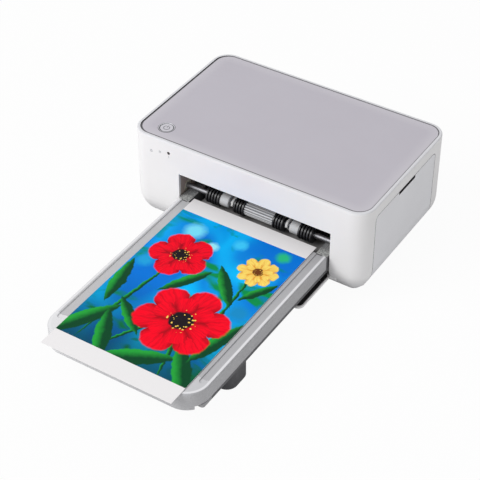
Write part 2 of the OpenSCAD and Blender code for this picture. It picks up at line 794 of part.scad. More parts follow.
// Spring leaf that presses on the striker, hung from the ledge above the door
module door_catch() {
    mid = door_u + door_len / 2 + 1;
    x1 = body_w / 2 - wall;
    color("silver") block_profile_y(mid - striker_w / 2, mid + striker_w / 2)
        polygon([[x1 - 1.6, plate_seat_z - ledge_t - 0.02], [x1 - 4, plate_seat_z - ledge_t - 0.02],
                 [x1 - 6.4, striker_z + 1.4], [x1 - 4.4, striker_z + 0.3], [x1 - 2.6, striker_z + 0.3],
                 [x1 - 2.6, striker_z + 0.8], [x1 - 4.2, striker_z + 0.8], [x1 - 5.5, striker_z + 1.6],
                 [x1 - 3.5, plate_seat_z - ledge_t - 0.6], [x1 - 1.6, plate_seat_z - ledge_t - 0.6]]);
}

// An outline in X and height, drawn out along Y
module block_profile_y(u0, u1) {
    translate([0, front_y + u1, 0]) rotate([90, 0, 0]) linear_extrude(u1 - u0) children();
}

plate_front_u = lining_d + 0.3;
// Outline of a chassis plate: low at the front, with an arm that carries the feed shaft
module plate_outline() {
    r = 3;
    intersection() {
        translate([body_d / 2, 0])
            section(body_d / 2 - wall - 0.5, plate_foot_z, body_h, belly_r - wall - 0.5, 1);
        union() {
    translate([feed_u - 6, feed_z - 6.5]) square([30, 14.5]);
    translate([plate_front_u + r, plate_foot_z]) square([plate_rear_u - plate_front_u - 2 * r, plate_top_z - plate_foot_z]);
    translate([plate_front_u, plate_foot_z + 6]) square([plate_rear_u - plate_front_u, plate_top_z - plate_foot_z - 6 - r]);
    for (u = [plate_front_u + r, plate_rear_u - r])
        translate([u, plate_top_z - r]) circle(r);
        }
    }
}

module plate_holes(x0, x1) {
    for (at = [feed_at, grip_at])
        rod_x(x0 - 1, x1 + 1, at, bush_r + seat);
    rod_x(x0 - 1, x1 + 1, [platen_u, platen_z], journal_r + run);
    rod_x(x0 - 1, x1 + 1, [grip_u, pinch_z], pinch_end_r + run);
    rod_x(x0 - 1, x1 + 1, [pivot_u, pivot_z], pivot_r + seat);
}
pinch_end_r = 1.5;

module left_plate() {
    x0 = plate_l - plate_t;
    color("silver") {
        difference() {
            along_x(x0, plate_l) plate_outline();
            plate_holes(x0, plate_l);
            rod_x(x0 - 1, plate_l + 1, takeup_at, hub_r + run);
            rod_x(x0 - 1, plate_l + 1, supply_at, hub_r + seat);
            rod_x(x0 - 1, plate_l + 1, motor_at, 5 + seat);
            for (at = [idler_a_at, idler_b_at])
                rod_x(x0 - 1, plate_l + 1, at, post_r - 0.5 + seat);
            along_x(x0 - 1, plate_l + 1) translate([40, 12]) square([16, 8]);
        }
        plate_feet(plate_l, 1);
    }
}

module right_plate() {
    x1 = plate_r + plate_t;
    color("silver") {
        difference() {
            along_x(plate_r, x1) plate_outline();
            plate_holes(plate_r, x1);
            // window through which the ribbon cartridge goes in
            along_x(plate_r - 1, x1 + 1) {
                for (at = [supply_at, takeup_at])
                    translate(at) circle(case_tube_r + 0.5);
                translate([supply_at[0], supply_at[1] - 8]) square([takeup_at[0] - supply_at[0], 16]);
            }
            along_x(plate_r - 1, x1 + 1) translate([46, 12]) square([30, 14]);
        }
        plate_feet(plate_r, -1);
    }
}

// Feet bent inward at the bottom of a chassis plate, resting on the base pan
module plate_feet(x, s) {
    for (u = [34, 84])
        block(s > 0 ? [x - tiny, x + 9] : [x - 9, x + tiny], [u, u + 12],
              [plate_foot_z, plate_foot_z + plate_t]);
}

module tie_bars() {
    front = plate_front_u + 0.1;
    rear = plate_rear_u - 0.4;
    low = lining_top_z + lining_t + free;
    color("lightsteelblue") {
        // over the opening's lining
        along_x(plate_l + seat, plate_r - seat) polygon([[front + plate_t, low], [front + plate_t, plate_top_z - 2],
            [front, plate_top_z - 2], [front, low + plate_t], [lining_d - 3, low + plate_t], [lining_d - 3, low]]);
        // behind the engine, above and below the paper slot
        along_x(plate_l + seat, plate_r - seat) polygon([[rear - 2.6, path_z + 5], [rear - 2.6, plate_top_z - 12],
            [rear - 1.4, plate_top_z - 12], [rear - 1.4, path_z + 6.2], [rear, path_z + 6.2], [rear, path_z + 5]]);
        along_x(plate_l + seat, plate_r - seat) polygon([[rear - 5.6, path_z - 5.2], [rear - 5.6, path_z - 4],
            [rear, path_z - 4], [rear, plate_foot_z + 16], [rear - 1.2, plate_foot_z + 16], [rear - 1.2, path_z - 5.2]]);
    }
}

// Flanged bushes of the feed shaft and the grip roller
module shaft_bushes() {
    color("ivory")
        for (at = [feed_at, grip_at], s = [-1, 1]) {
            inner = s < 0 ? plate_l : plate_r;
            bore = (at == feed_at ? feed_shaft_r : journal_r) + run;
            translate([inner, front_y + at[0], at[1]]) rotate([0, s * 90, 0]) rotate_extrude()
                polygon([[bore, -1], [bush_flange_r, -1], [bush_flange_r, -seat], [bush_r, -seat],
                         [bush_r, plate_t + 0.5], [bore, plate_t + 0.5]]);
        }
}

module feed_shaft() {
    color("silver") rod_x(gear_x0 - 1.2, plate_r + plate_t + 1.4, feed_at, feed_shaft_r);
}

module centre_roller() {
    n = 16;
    x0 = opening_x - centre_roller_w / 2;
    color("lightgray") along_x(x0, x0 + centre_roller_w) translate(feed_at) difference() {
        circle(feed_roller_r);
        for (i = [0 : n - 1])
            rotate(i * 360 / n) translate([feed_roller_r + 0.1, 0]) circle(0.6, $fn = 8);
        circle(feed_shaft_r + seat);
    }
}

module side_rollers() {
    color("lightgray")
        for (s = [-1, 1])
            translate([opening_x + s * side_roller_x - side_roller_w / 2, front_y + feed_at[0], feed_at[1]])
                rotate([0, 90, 0]) rotate_extrude()
                    polygon([[feed_shaft_r + seat, 0], [feed_roller_r - 0.5, 0], [feed_roller_r - 0.1, 0.5],
                             [feed_roller_r - 0.1, side_roller_w - 0.5], [feed_roller_r - 0.5, side_roller_w],
                             [feed_shaft_r + seat, side_roller_w]]);
}

// Black collars with ribs, between and outside the rollers
collar_rib_w = 1.1;
module collar(x0, x1, ribs) {
    w = x1 - x0;
    pitch = (w - collar_rib_w) / (ribs - 1);
    translate([x0, front_y + feed_at[0], feed_at[1]]) rotate([0, 90, 0]) rotate_extrude() {
        translate([feed_shaft_r + seat, 0]) square([collar_r - 2.6 - feed_shaft_r - seat, w]);
        for (i = [0 : ribs - 1])
            translate([feed_shaft_r + seat, i * pitch]) square([collar_r - feed_shaft_r - seat, collar_rib_w]);
    }
}

inner_collar = [12.3, 20.2];
outer_collar = [33.4, 44];
module ribbed_collars() {
    color("black")
        for (s = [-1, 1]) {
            a = opening_x + s * inner_collar[0];
            b = opening_x + s * inner_collar[1];
            collar(min(a, b), max(a, b), 4);
            c = opening_x + s * outer_collar[0];
            d = opening_x + s * outer_collar[1];
            collar(min(c, d), max(c, d), 5);
        }
}

// Small white hooks that keep the sheet down, hung from the lining's rear wall over the shaft
hook_x = 22.8;
module sheet_hooks() {
    t = 1.6;
    color("white")
        for (s = [-1, 1])
            translate([opening_x + s * hook_x - t / 2, 0, 0]) along_x(0, t) difference() {
                union() {
                    translate(feed_at) circle(feed_shaft_r + 2.1);
                    translate([feed_u, feed_z + feed_shaft_r + 0.5])
                        square([lining_d - lining_back_t - feed_u - seat, 1.6]);
                }
                translate(feed_at) circle(feed_shaft_r + free);
                translate([feed_u - 5, feed_z - 6]) square([4.4, 6]);
            }
}

module feed_gear() {
    color("ivory") gear(feed_at, feed_teeth, feed_turn, feed_shaft_r + seat);
}

module idler_gear_a() {
    color("ivory") gear(idler_a_at, idler_teeth, idler_a_turn, post_r + run);
}

module idler_gear_b() {
    color("ivory") gear(idler_b_at, idler_teeth, idler_b_turn, post_r + run);
}

// Studs riveted to the left plate, each with a head that keeps its idler on
module idler_posts() {
    color("silver")
        for (at = [idler_a_at, idler_b_at])
            translate([plate_l, front_y + at[0], at[1]]) rotate([0, -90, 0]) rotate_extrude()
                polygon([[0, 0], [post_r - 0.5, 0], [post_r - 0.5, plate_t + seat], [post_r, plate_t + seat],
                         [post_r, plate_l - gear_x0 + 1.1], [post_r + 1, plate_l - gear_x0 + 1.1],
                         [post_r + 1, plate_l - gear_x0 + 1.9], [0, plate_l - gear_x0 + 1.9]]);
}

module grip_roller() {
    color("silver") {
        rod_x(plate_l + 1.6, plate_r - 1.6, grip_at, grip_r);
        rod_x(gear_x0 - 1.2, plate_r + plate_t + 1, grip_at, journal_r);
    }
}

module grip_gear() {
    color("ivory") gear(grip_at, grip_teeth, 0, journal_r + seat);
}

module drive_motor() {
    color("darkgray") {
        rod_x(plate_l + 1.4, plate_l + motor_l, motor_at, motor_r);
        rod_x(plate_l + seat, plate_l + 1.4 + tiny, motor_at, motor_r - 1);
        difference() {
            rod_x(plate_l - plate_t, plate_l + 1, motor_at, 5);
            rod_x(plate_l - plate_t - 1, plate_l - 0.1, motor_at, 1.5 + run);
        }
    }
}

module motor_pinion() {
    color("goldenrod") {
        along_x(gear_x0, gear_x1) translate(motor_at) gear_outline(pinion_teeth, motor_turn);
        rod_x(gear_x0 - 1, plate_l - 0.2, motor_at, 1.5);
    }
}

module platen_core() {
    color("silver") {
        rod_x(plate_l - plate_t, plate_r + plate_t, [platen_u, platen_z], journal_r);
        rod_x(plate_l + 2, plate_r - 2, [platen_u, platen_z], journal_r + 0.8);
    }
}

module platen_sleeve() {
    color("dimgray") difference() {
        rod_x(plate_l + 5, plate_r - 5, [platen_u, platen_z], platen_r);
        rod_x(plate_l, plate_r, [platen_u, platen_z], journal_r + 0.8 + seat);
    }
}

module pinch_roller() {
    color("silver") {
        rod_x(plate_l + 1, plate_r - 1, [grip_u, pinch_z], pinch_r);
        rod_x(plate_l - plate_t, plate_r + plate_t, [grip_u, pinch_z], pinch_end_r);
    }
}

// Sheet-metal arm over the cartridge, with ears on the pivot
module head_arm() {
    x0 = plate_l + 1.2;
    x1 = plate_r - 1.2;
    color("silver") {
        block([x0, x1], [platen_u - 8, pivot_u + 2], [head_plate_z, head_plate_z + plate_t]);
        for (x = [[x0, x0 + plate_t], [x1 - plate_t, x1]])
            difference() {
                along_x(x[0], x[1]) {
                    translate([pivot_u, pivot_z]) circle(4.2);
                    translate([pivot_u - 4.2, pivot_z]) square([8.4, head_plate_z - pivot_z + tiny]);
                }
                rod_x(x[0] - 1, x[1] + 1, [pivot_u, pivot_z], pivot_r + run);
            }
    }
}

module head_pivot() {
    color("silver") rod_x(plate_l - plate_t - 0.4, plate_r + plate_t + 0.4, [pivot_u, pivot_z], pivot_r);
}

// Aluminium heat sink under the arm, with fins on both sides
module heat_sink() {
    z0 = path_z + 4.8;
    color("gainsboro") along_x(head_l, head_r) {
        translate([platen_u - 3.5, z0]) square([7, head_plate_z - z0]);
        for (i = [0 : 4])
            translate([platen_u - 7, z0 + 5 + i * 4.4]) square([14, 1.6]);
        translate([platen_u - 6, z0]) square([12, 2.4]);
    }
}

module thermal_head() {
    z0 = path_z + 0.7;
    color("saddlebrown") along_x(head_l, head_r)
        polygon([[platen_u - 2, z0], [platen_u + 2, z0], [platen_u + 5, z0 + 1.2], [platen_u + 5, path_z + 4.8],
                 [platen_u - 5, path_z + 4.8], [platen_u - 5, z0 + 1.2]]);
}

// Cartridge case: two part tubes joined by end bridges
module ribbon_case() {
    color("slategray") difference() {
        union() {
            for (at = [supply_at, takeup_at])
                difference() {
                    rod_x(case_l, case_r, at, case_tube_r);
                    rod_x(case_l + 2, case_r - 2, at, case_tube_r - case_tube_t);
                }
            for (x = [[case_l, case_l + 2], [case_r - 2, case_r]])
                block(x, [supply_at[0], takeup_at[0]], [supply_at[1] - 6, supply_at[1] + 6]);
            // grip at the right end, toward the door
            block([case_r - tiny, case_r + 7], [supply_at[0] + 14, takeup_at[0] - 14],
                  [supply_at[1] - 5, supply_at[1] - 3]);
        }
        for (at = [supply_at, takeup_at]) {
            rod_x(case_l - 1, case_l + 3, at, spool_r + 0.3 + run);
            rod_x(case_r - 3, case_r + 1, at, spool_r - 2 + run);
        }
        // slots through which the film leaves and enters
        block([case_l + 6, case_r - 6], [supply_at[0] + 2, supply_at[0] + 14], [supply_at[1] - 14, supply_at[1] - 8]);
        block([case_l + 6, case_r - 6], [takeup_at[0] - 14, takeup_at[0] - 2], [takeup_at[1] - 14, takeup_at[1] - 8]);
    }
}

module spool(at, r) {
    color("dimgray") difference() {
        union() {
            rod_x(case_l - 1.4, case_r - 2.4, at, spool_r + 0.3);
            rod_x(case_r - 2.5, case_r + 0.6, at, spool_r - 2);
            for (x = [case_l + 2.4, case_r - 3.8])
                rod_x(x, x + 1.2, at, r + 1.4);
            rod_x(case_l + 6, case_r - 6, at, r);
        }
        rod_x(case_l - 3, case_l + 9, at, hub_r + run);
    }
}

module supply_spool() {
    spool(supply_at, roll_r);
}

module takeup_spool() {
    spool(takeup_at, roll_r - 1.4);
}

// Gear and driving hub of the take-up spool, turning in the left plate
module takeup_gear() {
    color("ivory") {
        gear(takeup_at, takeup_teeth, takeup_turn, hub_r - 1);
        difference() {
            rod_x(gear_x0 - 0.8, case_l + 7, takeup_at, hub_r);
            rod_x(gear_x0 - 1, gear_x0 + 2, takeup_at, 1.2);
        }
    }
}

// Film from the supply roll, under the head and up to the take-up roll
module ribbon_film() {
    t = 0.2;
    a = [supply_at[0] + 5, supply_at[1] - roll_r - 0.6];
    b = [platen_u - 7, path_z + 0.35];
    c = [platen_u + 7, path_z + 0.35];
    d = [takeup_at[0] - 5, takeup_at[1] - roll_r - 0.6];
    up = [0, t];
    color("darkorange") along_x(opening_x - 50, opening_x + 50)
        polygon([a, b, c, d, d + up, c + up, b + up, a + up]);
}

module main_board() {
    color("seagreen") difference() {
        block([board_l, board_r], [board_front_u, board_rear_u], [board_z, board_z + board_t]);
        for (x = board_screw_x, u = board_screw_u)
            translate([x, front_y + u, board_z - 1]) cylinder(h = 4, r = 1.3);
    }
}

// Processor, memory, inductors and capacitors, and the screws of the board
module board_parts() {
    top = board_z + board_t;
    color("dimgray") {
        block([10, 26], [44, 60], [top, top + 1.4]);
        block([32, 42], [46, 58], [top, top + 1.2]);
        for (x = [6, 18, 30])
            block([x, x + 8], [72, 80], [top, top + 4]);
    }
    color("black")
        for (x = [-36, -26])
            translate([x, front_y + 50, top]) cylinder(h = 12, r = 4);
    color("ivory") block([-8, 4], [88, 94], [top, top + 6]);
    color("silver")
        for (x = board_screw_x, u = board_screw_u)
            translate([x, front_y + u, 0]) {
                translate([0, 0, top]) cylinder(h = 1.4, r = 2.2);
                translate([0, 0, board_z - 1.8]) cylinder(h = top - board_z + 1.8 + tiny, r = 1.05);
            }
}

// Barrel jack for the power supply's plug, soldered to the board's rear edge
module power_inlet() {
    z = board_z + board_t;
    u0 = board_rear_u - 9;
    u1 = inlet_u1;
    color("black") difference() {
        block([inlet_x - inlet_w / 2, inlet_x + inlet_w / 2], [u0, u1], [z, z + inlet_h]);
        rod_y(u1 - 9, u1 + 1, inlet_x, z + inlet_h / 2 + 0.4, 3.1);
    }
    color("silver") rod_y(u1 - 9 - tiny, u1 - 1, inlet_x, z + inlet_h / 2 + 0.4, 0.9);
}
inlet_u1 = body_d - 10.5;

// Dark lower part of the cassette, with its shoulders at the rear
module tray_base() {
    len = tray_in - base_front_u;
    color("dimgray") difference() {
        union() {
            // floor with a rim that shows as a thin line under the cover
            translate([opening_x, front_y + base_front_u + len / 2, tray_z]) linear_extrude(tray_floor_t)
                round_rect(tray_w, len, 2);
            // side walls inside the cover's skirt
            for (s = [-1, 1])
                block(s > 0 ? [opening_x + inner_wall_x - base_wall_t, opening_x + inner_wall_x]
                            : [opening_x - inner_wall_x, opening_x - inner_wall_x + base_wall_t],
                      [base_front_u + 16, cover_rear_u + 1], [tray_z + 1, base_wall_z]);
            block([opening_x - 46, opening_x + 46], [base_front_u, base_front_u + 1.2], [tray_z + 1, base_wall_z]);
            // shoulders beside the paper
            for (s = [-1, 1])
                block(s > 0 ? [opening_x + shoulder_x, tray_r] : [tray_l, opening_x - shoulder_x],
                      [cover_rear_u + panel_gap, tray_in - 1], [tray_z + 1, tray_top_z - 0.4]);
            // ears of the cover's hinge
            for (x = ear_x)
                along_x(x[0], x[1]) {
                    translate([hinge_u, hinge_z]) circle(2.4);
                    translate([hinge_u, hinge_z - 2.4]) square([base_front_u - hinge_u + tiny, 4.8]);
                }
        }
        for (s = [-1, 1])
            block(s > 0 ? [opening_x + shoulder_x + 1.6, tray_r - 1.6] : [tray_l + 1.6, opening_x - shoulder_x - 1.6],
                  [cover_rear_u + panel_gap + 1.6, tray_in - 2.6], [tray_z + tray_floor_t, tray_top_z - 2]);
        for (x = ear_x)
            rod_x(x[0] - 1, x[1] + 1, [hinge_u, hinge_z], cover_pin_r + run);
        for (i = [-2 : 2])
            block([opening_x + i * 18 - 1.5, opening_x + i * 18 + 1.5], [tray_front_u + 70, tray_front_u + 130],
                  [tray_z - 1, tray_z + 0.8]);
    }
}
ear_x = [[opening_x - 44, opening_x - 40], [opening_x + 40, opening_x + 44]];

// Leg that holds the cassette level, open at the bottom
module tray_leg() {
    u0 = tray_front_u + leg_back;
    w = tray_w - 13;
    color("dimgray") translate([opening_x, front_y + u0 + leg_d / 2, 0]) difference() {
        linear_extrude(tray_z) round_rect(w, leg_d, 8);
        translate([0, 0, -1]) linear_extrude(tray_z - 1) round_rect(w - 4, leg_d - 4, 6);
    }
}

// Translucent cover: top, skirt, and a full-height nose at the front
module tray_cover() {
    len = cover_rear_u - tray_front_u;
    nose_u = hinge_u;
    r = tray_corner_r;
    color([0.8, 0.8, 0.82]) difference() {
        intersection() {
            cover_form(tray_l, tray_r, tray_front_u, cover_rear_u, tray_z, tray_top_z, r, 1);
            union() {
                block([tray_l - 1, tray_r + 1], [tray_front_u - 1, cover_rear_u + 1], [skirt_z, tray_top_z + 1]);
                block([tray_l - 1, tray_r + 1], [tray_front_u - 1, nose_u], [tray_z, tray_top_z + 1]);
            }
        }
        cover_form(tray_l + tray_wall, tray_r - tray_wall, tray_front_u + tray_wall, cover_rear_u + 5,
                   tray_z - 5, tray_top_z - tray_wall, r - tray_wall, 0.6);
        // sunk strips along both sides
        for (x = strip_x)
            translate([0, front_y, tray_top_z - 0.8]) linear_extrude(2) {
                translate([x[0], tray_front_u + 18]) square([x[1] - x[0], len]);
                translate([(x[0] + x[1]) / 2, tray_front_u + 18]) circle((x[1] - x[0]) / 2);
            }
    }
    // knuckles beside the base's ears
    color([0.8, 0.8, 0.82])
        for (x = knuckle_x)
            difference() {
                along_x(x[0], x[1]) {
                    translate([hinge_u, hinge_z]) circle(2.6);
                    translate([hinge_u - 2.6, hinge_z]) square([5.2, tray_top_z - tray_wall - hinge_z + tiny]);
                }
                rod_x(x[0] - 1, x[1] + 1, [hinge_u, hinge_z], cover_pin_r + seat);
            }
}
strip_x = [[opening_x - 58.8, opening_x - 54.4], [opening_x + 54.2, opening_x + 58.6]];
knuckle_x = [[opening_x - 47.3, opening_x - 44.3], [opening_x - 39.7, opening_x - 36.7],
             [opening_x + 36.7, opening_x + 39.7], [opening_x + 44.3, opening_x + 47.3]];

// A box with round front corners and a softened upper edge
module cover_form(x0, x1, u0, u1, z0, z1, r, edge) {
    module plan(inset) {
        translate([x0 + inset, u0 + r]) square([x1 - x0 - 2 * inset, u1 - u0 - r]);
        translate([x0 + r, u0 + inset]) square([x1 - x0 - 2 * r, r]);
        for (x = [x0 + r, x1 - r])
            translate([x, u0 + r]) circle(r - inset);
    }
    translate([0, front_y, z0]) linear_extrude(z1 - edge - z0) plan(0);
    translate([0, front_y, z1 - edge - tiny]) linear_extrude(edge / 2 + tiny) plan(edge * 0.14);
    translate([0, front_y, z1 - edge / 2 - tiny]) linear_extrude(edge / 2 + tiny) plan(edge * 0.5);
}

module cover_pins() {
    color("silver") {
        rod_x(knuckle_x[0][0], knuckle_x[1][1], [hinge_u, hinge_z], cover_pin_r);
        rod_x(knuckle_x[2][0], knuckle_x[3][1], [hinge_u, hinge_z], cover_pin_r);
    }
}

lift_front_u = base_front_u + 3;
lift_axis_r = lift_t / 2;
module lift_plate() {
    w = paper_w - 20;
    color("silver") {
        block([opening_x - w / 2, opening_x + w / 2], [lift_front_u, tray_in - 2], [lift_z, lift_z + lift_t]);
        rod_x(opening_x - w / 2 - 2, opening_x + w / 2 + 2, [lift_front_u, lift_z + lift_axis_r], lift_axis_r);
    }
}

module paper_stack() {
    color("white")
        block([opening_x - paper_w / 2, opening_x + paper_w / 2], [tray_in - 1 - stack_len, tray_in - 1],
              [stack_z, stack_z + stack_h]);
}

module print_sheet() {
    color("white")
        block([opening_x - paper_w / 2, opening_x + paper_w / 2], [-reach, print_in], [print_z, print_z + print_t]);
}

housing_shell();
base_pan();
rubber_feet();
case_screws();
top_plate();
button_ring();
power_button();
button_switch();
status_lenses();
sensor_window();
opening_frame();
rear_lining();
slot_bezel();
front_flap();
flap_pins();
ribbon_door();
door_pins();
door_catch();
left_plate();
right_plate();
tie_bars();
shaft_bushes();
feed_shaft();
centre_roller();
side_rollers();
ribbed_collars();
sheet_hooks();
feed_gear();
idler_gear_a();
idler_gear_b();
idler_posts();
grip_roller();
grip_gear();
drive_motor();
motor_pinion();
platen_core();
platen_sleeve();
pinch_roller();
head_arm();
head_pivot();
heat_sink();
thermal_head();
ribbon_case();
supply_spool();
takeup_spool();
takeup_gear();
ribbon_film();
main_board();
board_parts();
power_inlet();
tray_base();
tray_leg();
tray_cover();
cover_pins();
lift_plate();
paper_stack();
print_sheet();
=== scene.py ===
import bpy
import math
from mathutils import Matrix, Vector


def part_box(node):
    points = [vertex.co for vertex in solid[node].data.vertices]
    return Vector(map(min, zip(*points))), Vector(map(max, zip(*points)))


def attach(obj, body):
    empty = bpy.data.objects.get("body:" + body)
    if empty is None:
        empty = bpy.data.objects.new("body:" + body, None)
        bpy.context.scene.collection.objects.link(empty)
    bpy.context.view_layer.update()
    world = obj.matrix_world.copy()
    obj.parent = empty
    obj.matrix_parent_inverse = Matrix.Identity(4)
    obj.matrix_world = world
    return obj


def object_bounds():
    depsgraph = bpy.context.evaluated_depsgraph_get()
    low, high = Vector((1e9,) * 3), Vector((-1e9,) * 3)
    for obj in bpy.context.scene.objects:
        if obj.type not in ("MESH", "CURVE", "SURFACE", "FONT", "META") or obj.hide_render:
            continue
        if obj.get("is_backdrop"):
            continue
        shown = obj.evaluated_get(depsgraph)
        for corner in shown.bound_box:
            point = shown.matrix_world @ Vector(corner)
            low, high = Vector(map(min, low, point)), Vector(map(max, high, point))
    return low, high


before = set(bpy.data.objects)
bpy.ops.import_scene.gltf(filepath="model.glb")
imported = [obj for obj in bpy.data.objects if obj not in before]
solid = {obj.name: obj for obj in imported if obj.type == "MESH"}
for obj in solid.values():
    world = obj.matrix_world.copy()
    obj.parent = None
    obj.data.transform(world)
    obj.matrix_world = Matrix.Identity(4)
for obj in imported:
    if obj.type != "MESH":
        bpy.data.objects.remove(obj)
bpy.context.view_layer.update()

# Camera ---------------------------------------------------------------------------------------
# It looks down on the printer from the front right, a metre away through a long lens. The shifts
# move the picture a little on the sensor, so that the printer sits in the middle.
eye = Vector((0.4383, -0.6618, 0.7012))
ahead = Vector((-0.4159, 0.6468, -0.6393)).normalized()
upward = Vector((-0.343, 0.539, 0.769))
side = ahead.cross(upward).normalized()
lens = bpy.data.cameras.new("camera")
lens.sensor_width = 36
lens.lens = 110.49
lens.shift_x = 0.00315
lens.shift_y = -0.0008
lens.clip_start = 0.05
lens.clip_end = 20
camera = bpy.data.objects.new("camera", lens)
turned = Matrix((side, side.cross(ahead), -ahead)).transposed().to_4x4()
camera.matrix_world = Matrix.Translation(eye) @ turned
bpy.context.scene.collection.objects.link(camera)
bpy.context.scene.camera = camera

# Housing --------------------------------------------------------------------------------------
# Upper shell and base pan are injection-moulded in satin white plastic with a fine eroded skin.
# They meet at a seam under the belly, where four screws pull the pan up to the posts of the shell.
# The ribbon door in the right side is moulded in the same white, and the feet are rubber.
MM = 0.001


def tone(red, green, blue):
    """A colour given as it is seen, 0 to 255, turned into light values."""
    seen = (v / 255 for v in (red, green, blue))
    return tuple(v / 12.92 if v <= 0.04045 else ((v + 0.055) / 1.055) ** 2.4 for v in seen) + (1.0,)


def finish(name, colour, rough, metal=0.0):
    """A new surface with even colour, for the detail nodes to work on."""
    made = bpy.data.materials.new(name)
    made.use_nodes = True
    made.diffuse_color = colour
    skin = made.node_tree.nodes["Principled BSDF"]
    skin.inputs["Base Color"].default_value = colour
    skin.inputs["Roughness"].default_value = rough
    skin.inputs["Metallic"].default_value = metal
    return made


def add(made, kind, sets=(), **links):
    """One more node in a surface; sets are its socket values, links its feeding sockets."""
    new = made.node_tree.nodes.new("ShaderNode" + kind)
    for key, value in dict(sets).items():
        if key in new.inputs:
            new.inputs[key].default_value = value
        else:
            setattr(new, key, value)
    for key, source in links.items():
        socket = new.inputs[int(key[1:])] if key[0] == "_" else new.inputs[key]
        made.node_tree.links.new(source, socket)
    return new


def place(made, stretch=(1, 1, 1)):
    """Places on the piece itself, in metres, stretched for streaks."""
    where = add(made, "TexCoord").outputs["Object"]
    if stretch == (1, 1, 1):
        return where
    return add(made, "Mapping", {"Scale": stretch}, Vector=where).outputs["Vector"]


def at(made, axis):
    """How far along one axis a place on the piece lies, in metres."""
    return add(made, "SeparateXYZ", {}, Vector=place(made)).outputs[axis]


def facing(made, axis):
    """How far a face of the piece looks along one of the piece's own axes, from -1 to 1."""
    return add(made, "SeparateXYZ", {}, Vector=add(made, "TexCoord").outputs["Normal"]).outputs[axis]


def noise(made, size, stretch=(1, 1, 1), detail=2.0):
    """Cloudy noise whose lumps are size millimetres across."""
    sets = {"Scale": 1 / (size * MM), "Detail": detail, "Roughness": 0.55}
    return add(made, "TexNoise", sets, Vector=place(made, stretch)).outputs["Fac"]


def ramp(made, source, low, high, dark, light):
    """Maps a value from the span low..high to the span dark..light."""
    sets = {"From Min": low, "From Max": high, "To Min": dark, "To Max": light, "clamp": False}
    return add(made, "MapRange", sets, Value=source).outputs["Result"]


def calc(made, operation, first, second=None, third=None):
    """One step of arithmetic on numbers or sockets."""
    step = add(made, "Math", {"operation": operation})
    for k, value in enumerate((first, second, third)):
        if isinstance(value, (int, float)):
            step.inputs[k].default_value = value
        elif value is not None:
            made.node_tree.links.new(value, step.inputs[k])
    return step.outputs[0]


def over(made, value, limit):
    """1 where a value is over a limit, and 0 elsewhere."""
    return calc(made, "GREATER_THAN", value, limit)


def under(made, value, limit):
    """1 where a value is under a limit, and 0 elsewhere."""
    return calc(made, "LESS_THAN", value, limit)


def both(made, first, second):
    """1 where two shares are both 1."""
    return calc(made, "MULTIPLY", first, second)


def away(made, value, middle):
    """How far a value is from a middle, on either side."""
    return calc(made, "ABSOLUTE", calc(made, "SUBTRACT", value, middle))


def blend(made, share, first, second):
    """Mixes two colours, each a colour or a socket, by a share."""
    mixer = add(made, "Mix", {"data_type": "RGBA"})
    made.node_tree.links.new(share, mixer.inputs[0])
    # the mixer's sockets 6, 7 and 2 are the ones for colours
    for k, colour in ((6, first), (7, second)):
        if isinstance(colour, tuple):
            mixer.inputs[k].default_value = colour
        else:
            made.node_tree.links.new(colour, mixer.inputs[k])
    return mixer.outputs[2]


def darker(colour, share):
    """The same colour with a share of its light."""
    return tuple(v * share for v in colour[:3]) + (1.0,)


def wire(made, colour=None, rough=None, height=None, lift=0.05, strength=0.6):
    """Feeds the surface with a colour, a roughness and a bump, whose lift is in millimetres."""
    links = made.node_tree.links
    skin = made.node_tree.nodes["Principled BSDF"]
    if colour is not None:
        links.new(colour, skin.inputs["Base Color"])
    if rough is not None:
        links.new(rough, skin.inputs["Roughness"])
    if height is not None:
        sets = {"Strength": strength, "Distance": lift * MM}
        links.new(add(made, "Bump", sets, Height=height).outputs["Normal"], skin.inputs["Normal"])
    return made


def moulded(name, colour, rough, grain=0.35, lift=0.02, cloud=0.97, strength=0.5):
    """Moulded plastic: a fine eroded skin, faint flow clouds and patches of wiped gloss.
    The skin's grain and lift are in millimetres, and cloud is how dark the clouds are."""
    made = finish(name, colour, rough)
    clouds = ramp(made, noise(made, 38), 0.35, 0.65, 0, 1)
    hue = blend(made, clouds, darker(colour, cloud), colour)
    wiped = ramp(made, noise(made, 11, detail=4), 0.3, 0.7, rough - 0.05, rough + 0.07)
    return wire(made, hue, wiped, noise(made, grain, detail=3), lift, strength)


def repaint(made, share, colour):
    """Lays a colour over the surface's own by a share."""
    skin = made.node_tree.nodes["Principled BSDF"]
    return wire(made, blend(made, share, skin.inputs["Base Color"].links[0].from_socket, colour))


def inset(made, middle, half, radius):
    """How far a place lies inside a round-cornered outline seen from above, in metres."""
    parts = add(made, "SeparateXYZ", {}, Vector=place(made))
    beyond_x, beyond_y = (calc(made, "SUBTRACT", away(made, parts.outputs[k], middle[k]), half[k] - radius)
                          for k in (0, 1))
    corner = add(made, "CombineXYZ", {}, X=calc(made, "MAXIMUM", beyond_x, 0.0),
                 Y=calc(made, "MAXIMUM", beyond_y, 0.0)).outputs[0]
    round_part = add(made, "VectorMath", {"operation": "LENGTH"}, Vector=corner).outputs["Value"]
    flat_part = calc(made, "MINIMUM", calc(made, "MAXIMUM", beyond_x, beyond_y), 0.0)
    return calc(made, "SUBTRACT", radius, calc(made, "ADD", round_part, flat_part))


def dress(made, *names):
    """Puts a surface on solids of the frame."""
    for name in names:
        for slot in solid[name].material_slots:
            slot.material = made


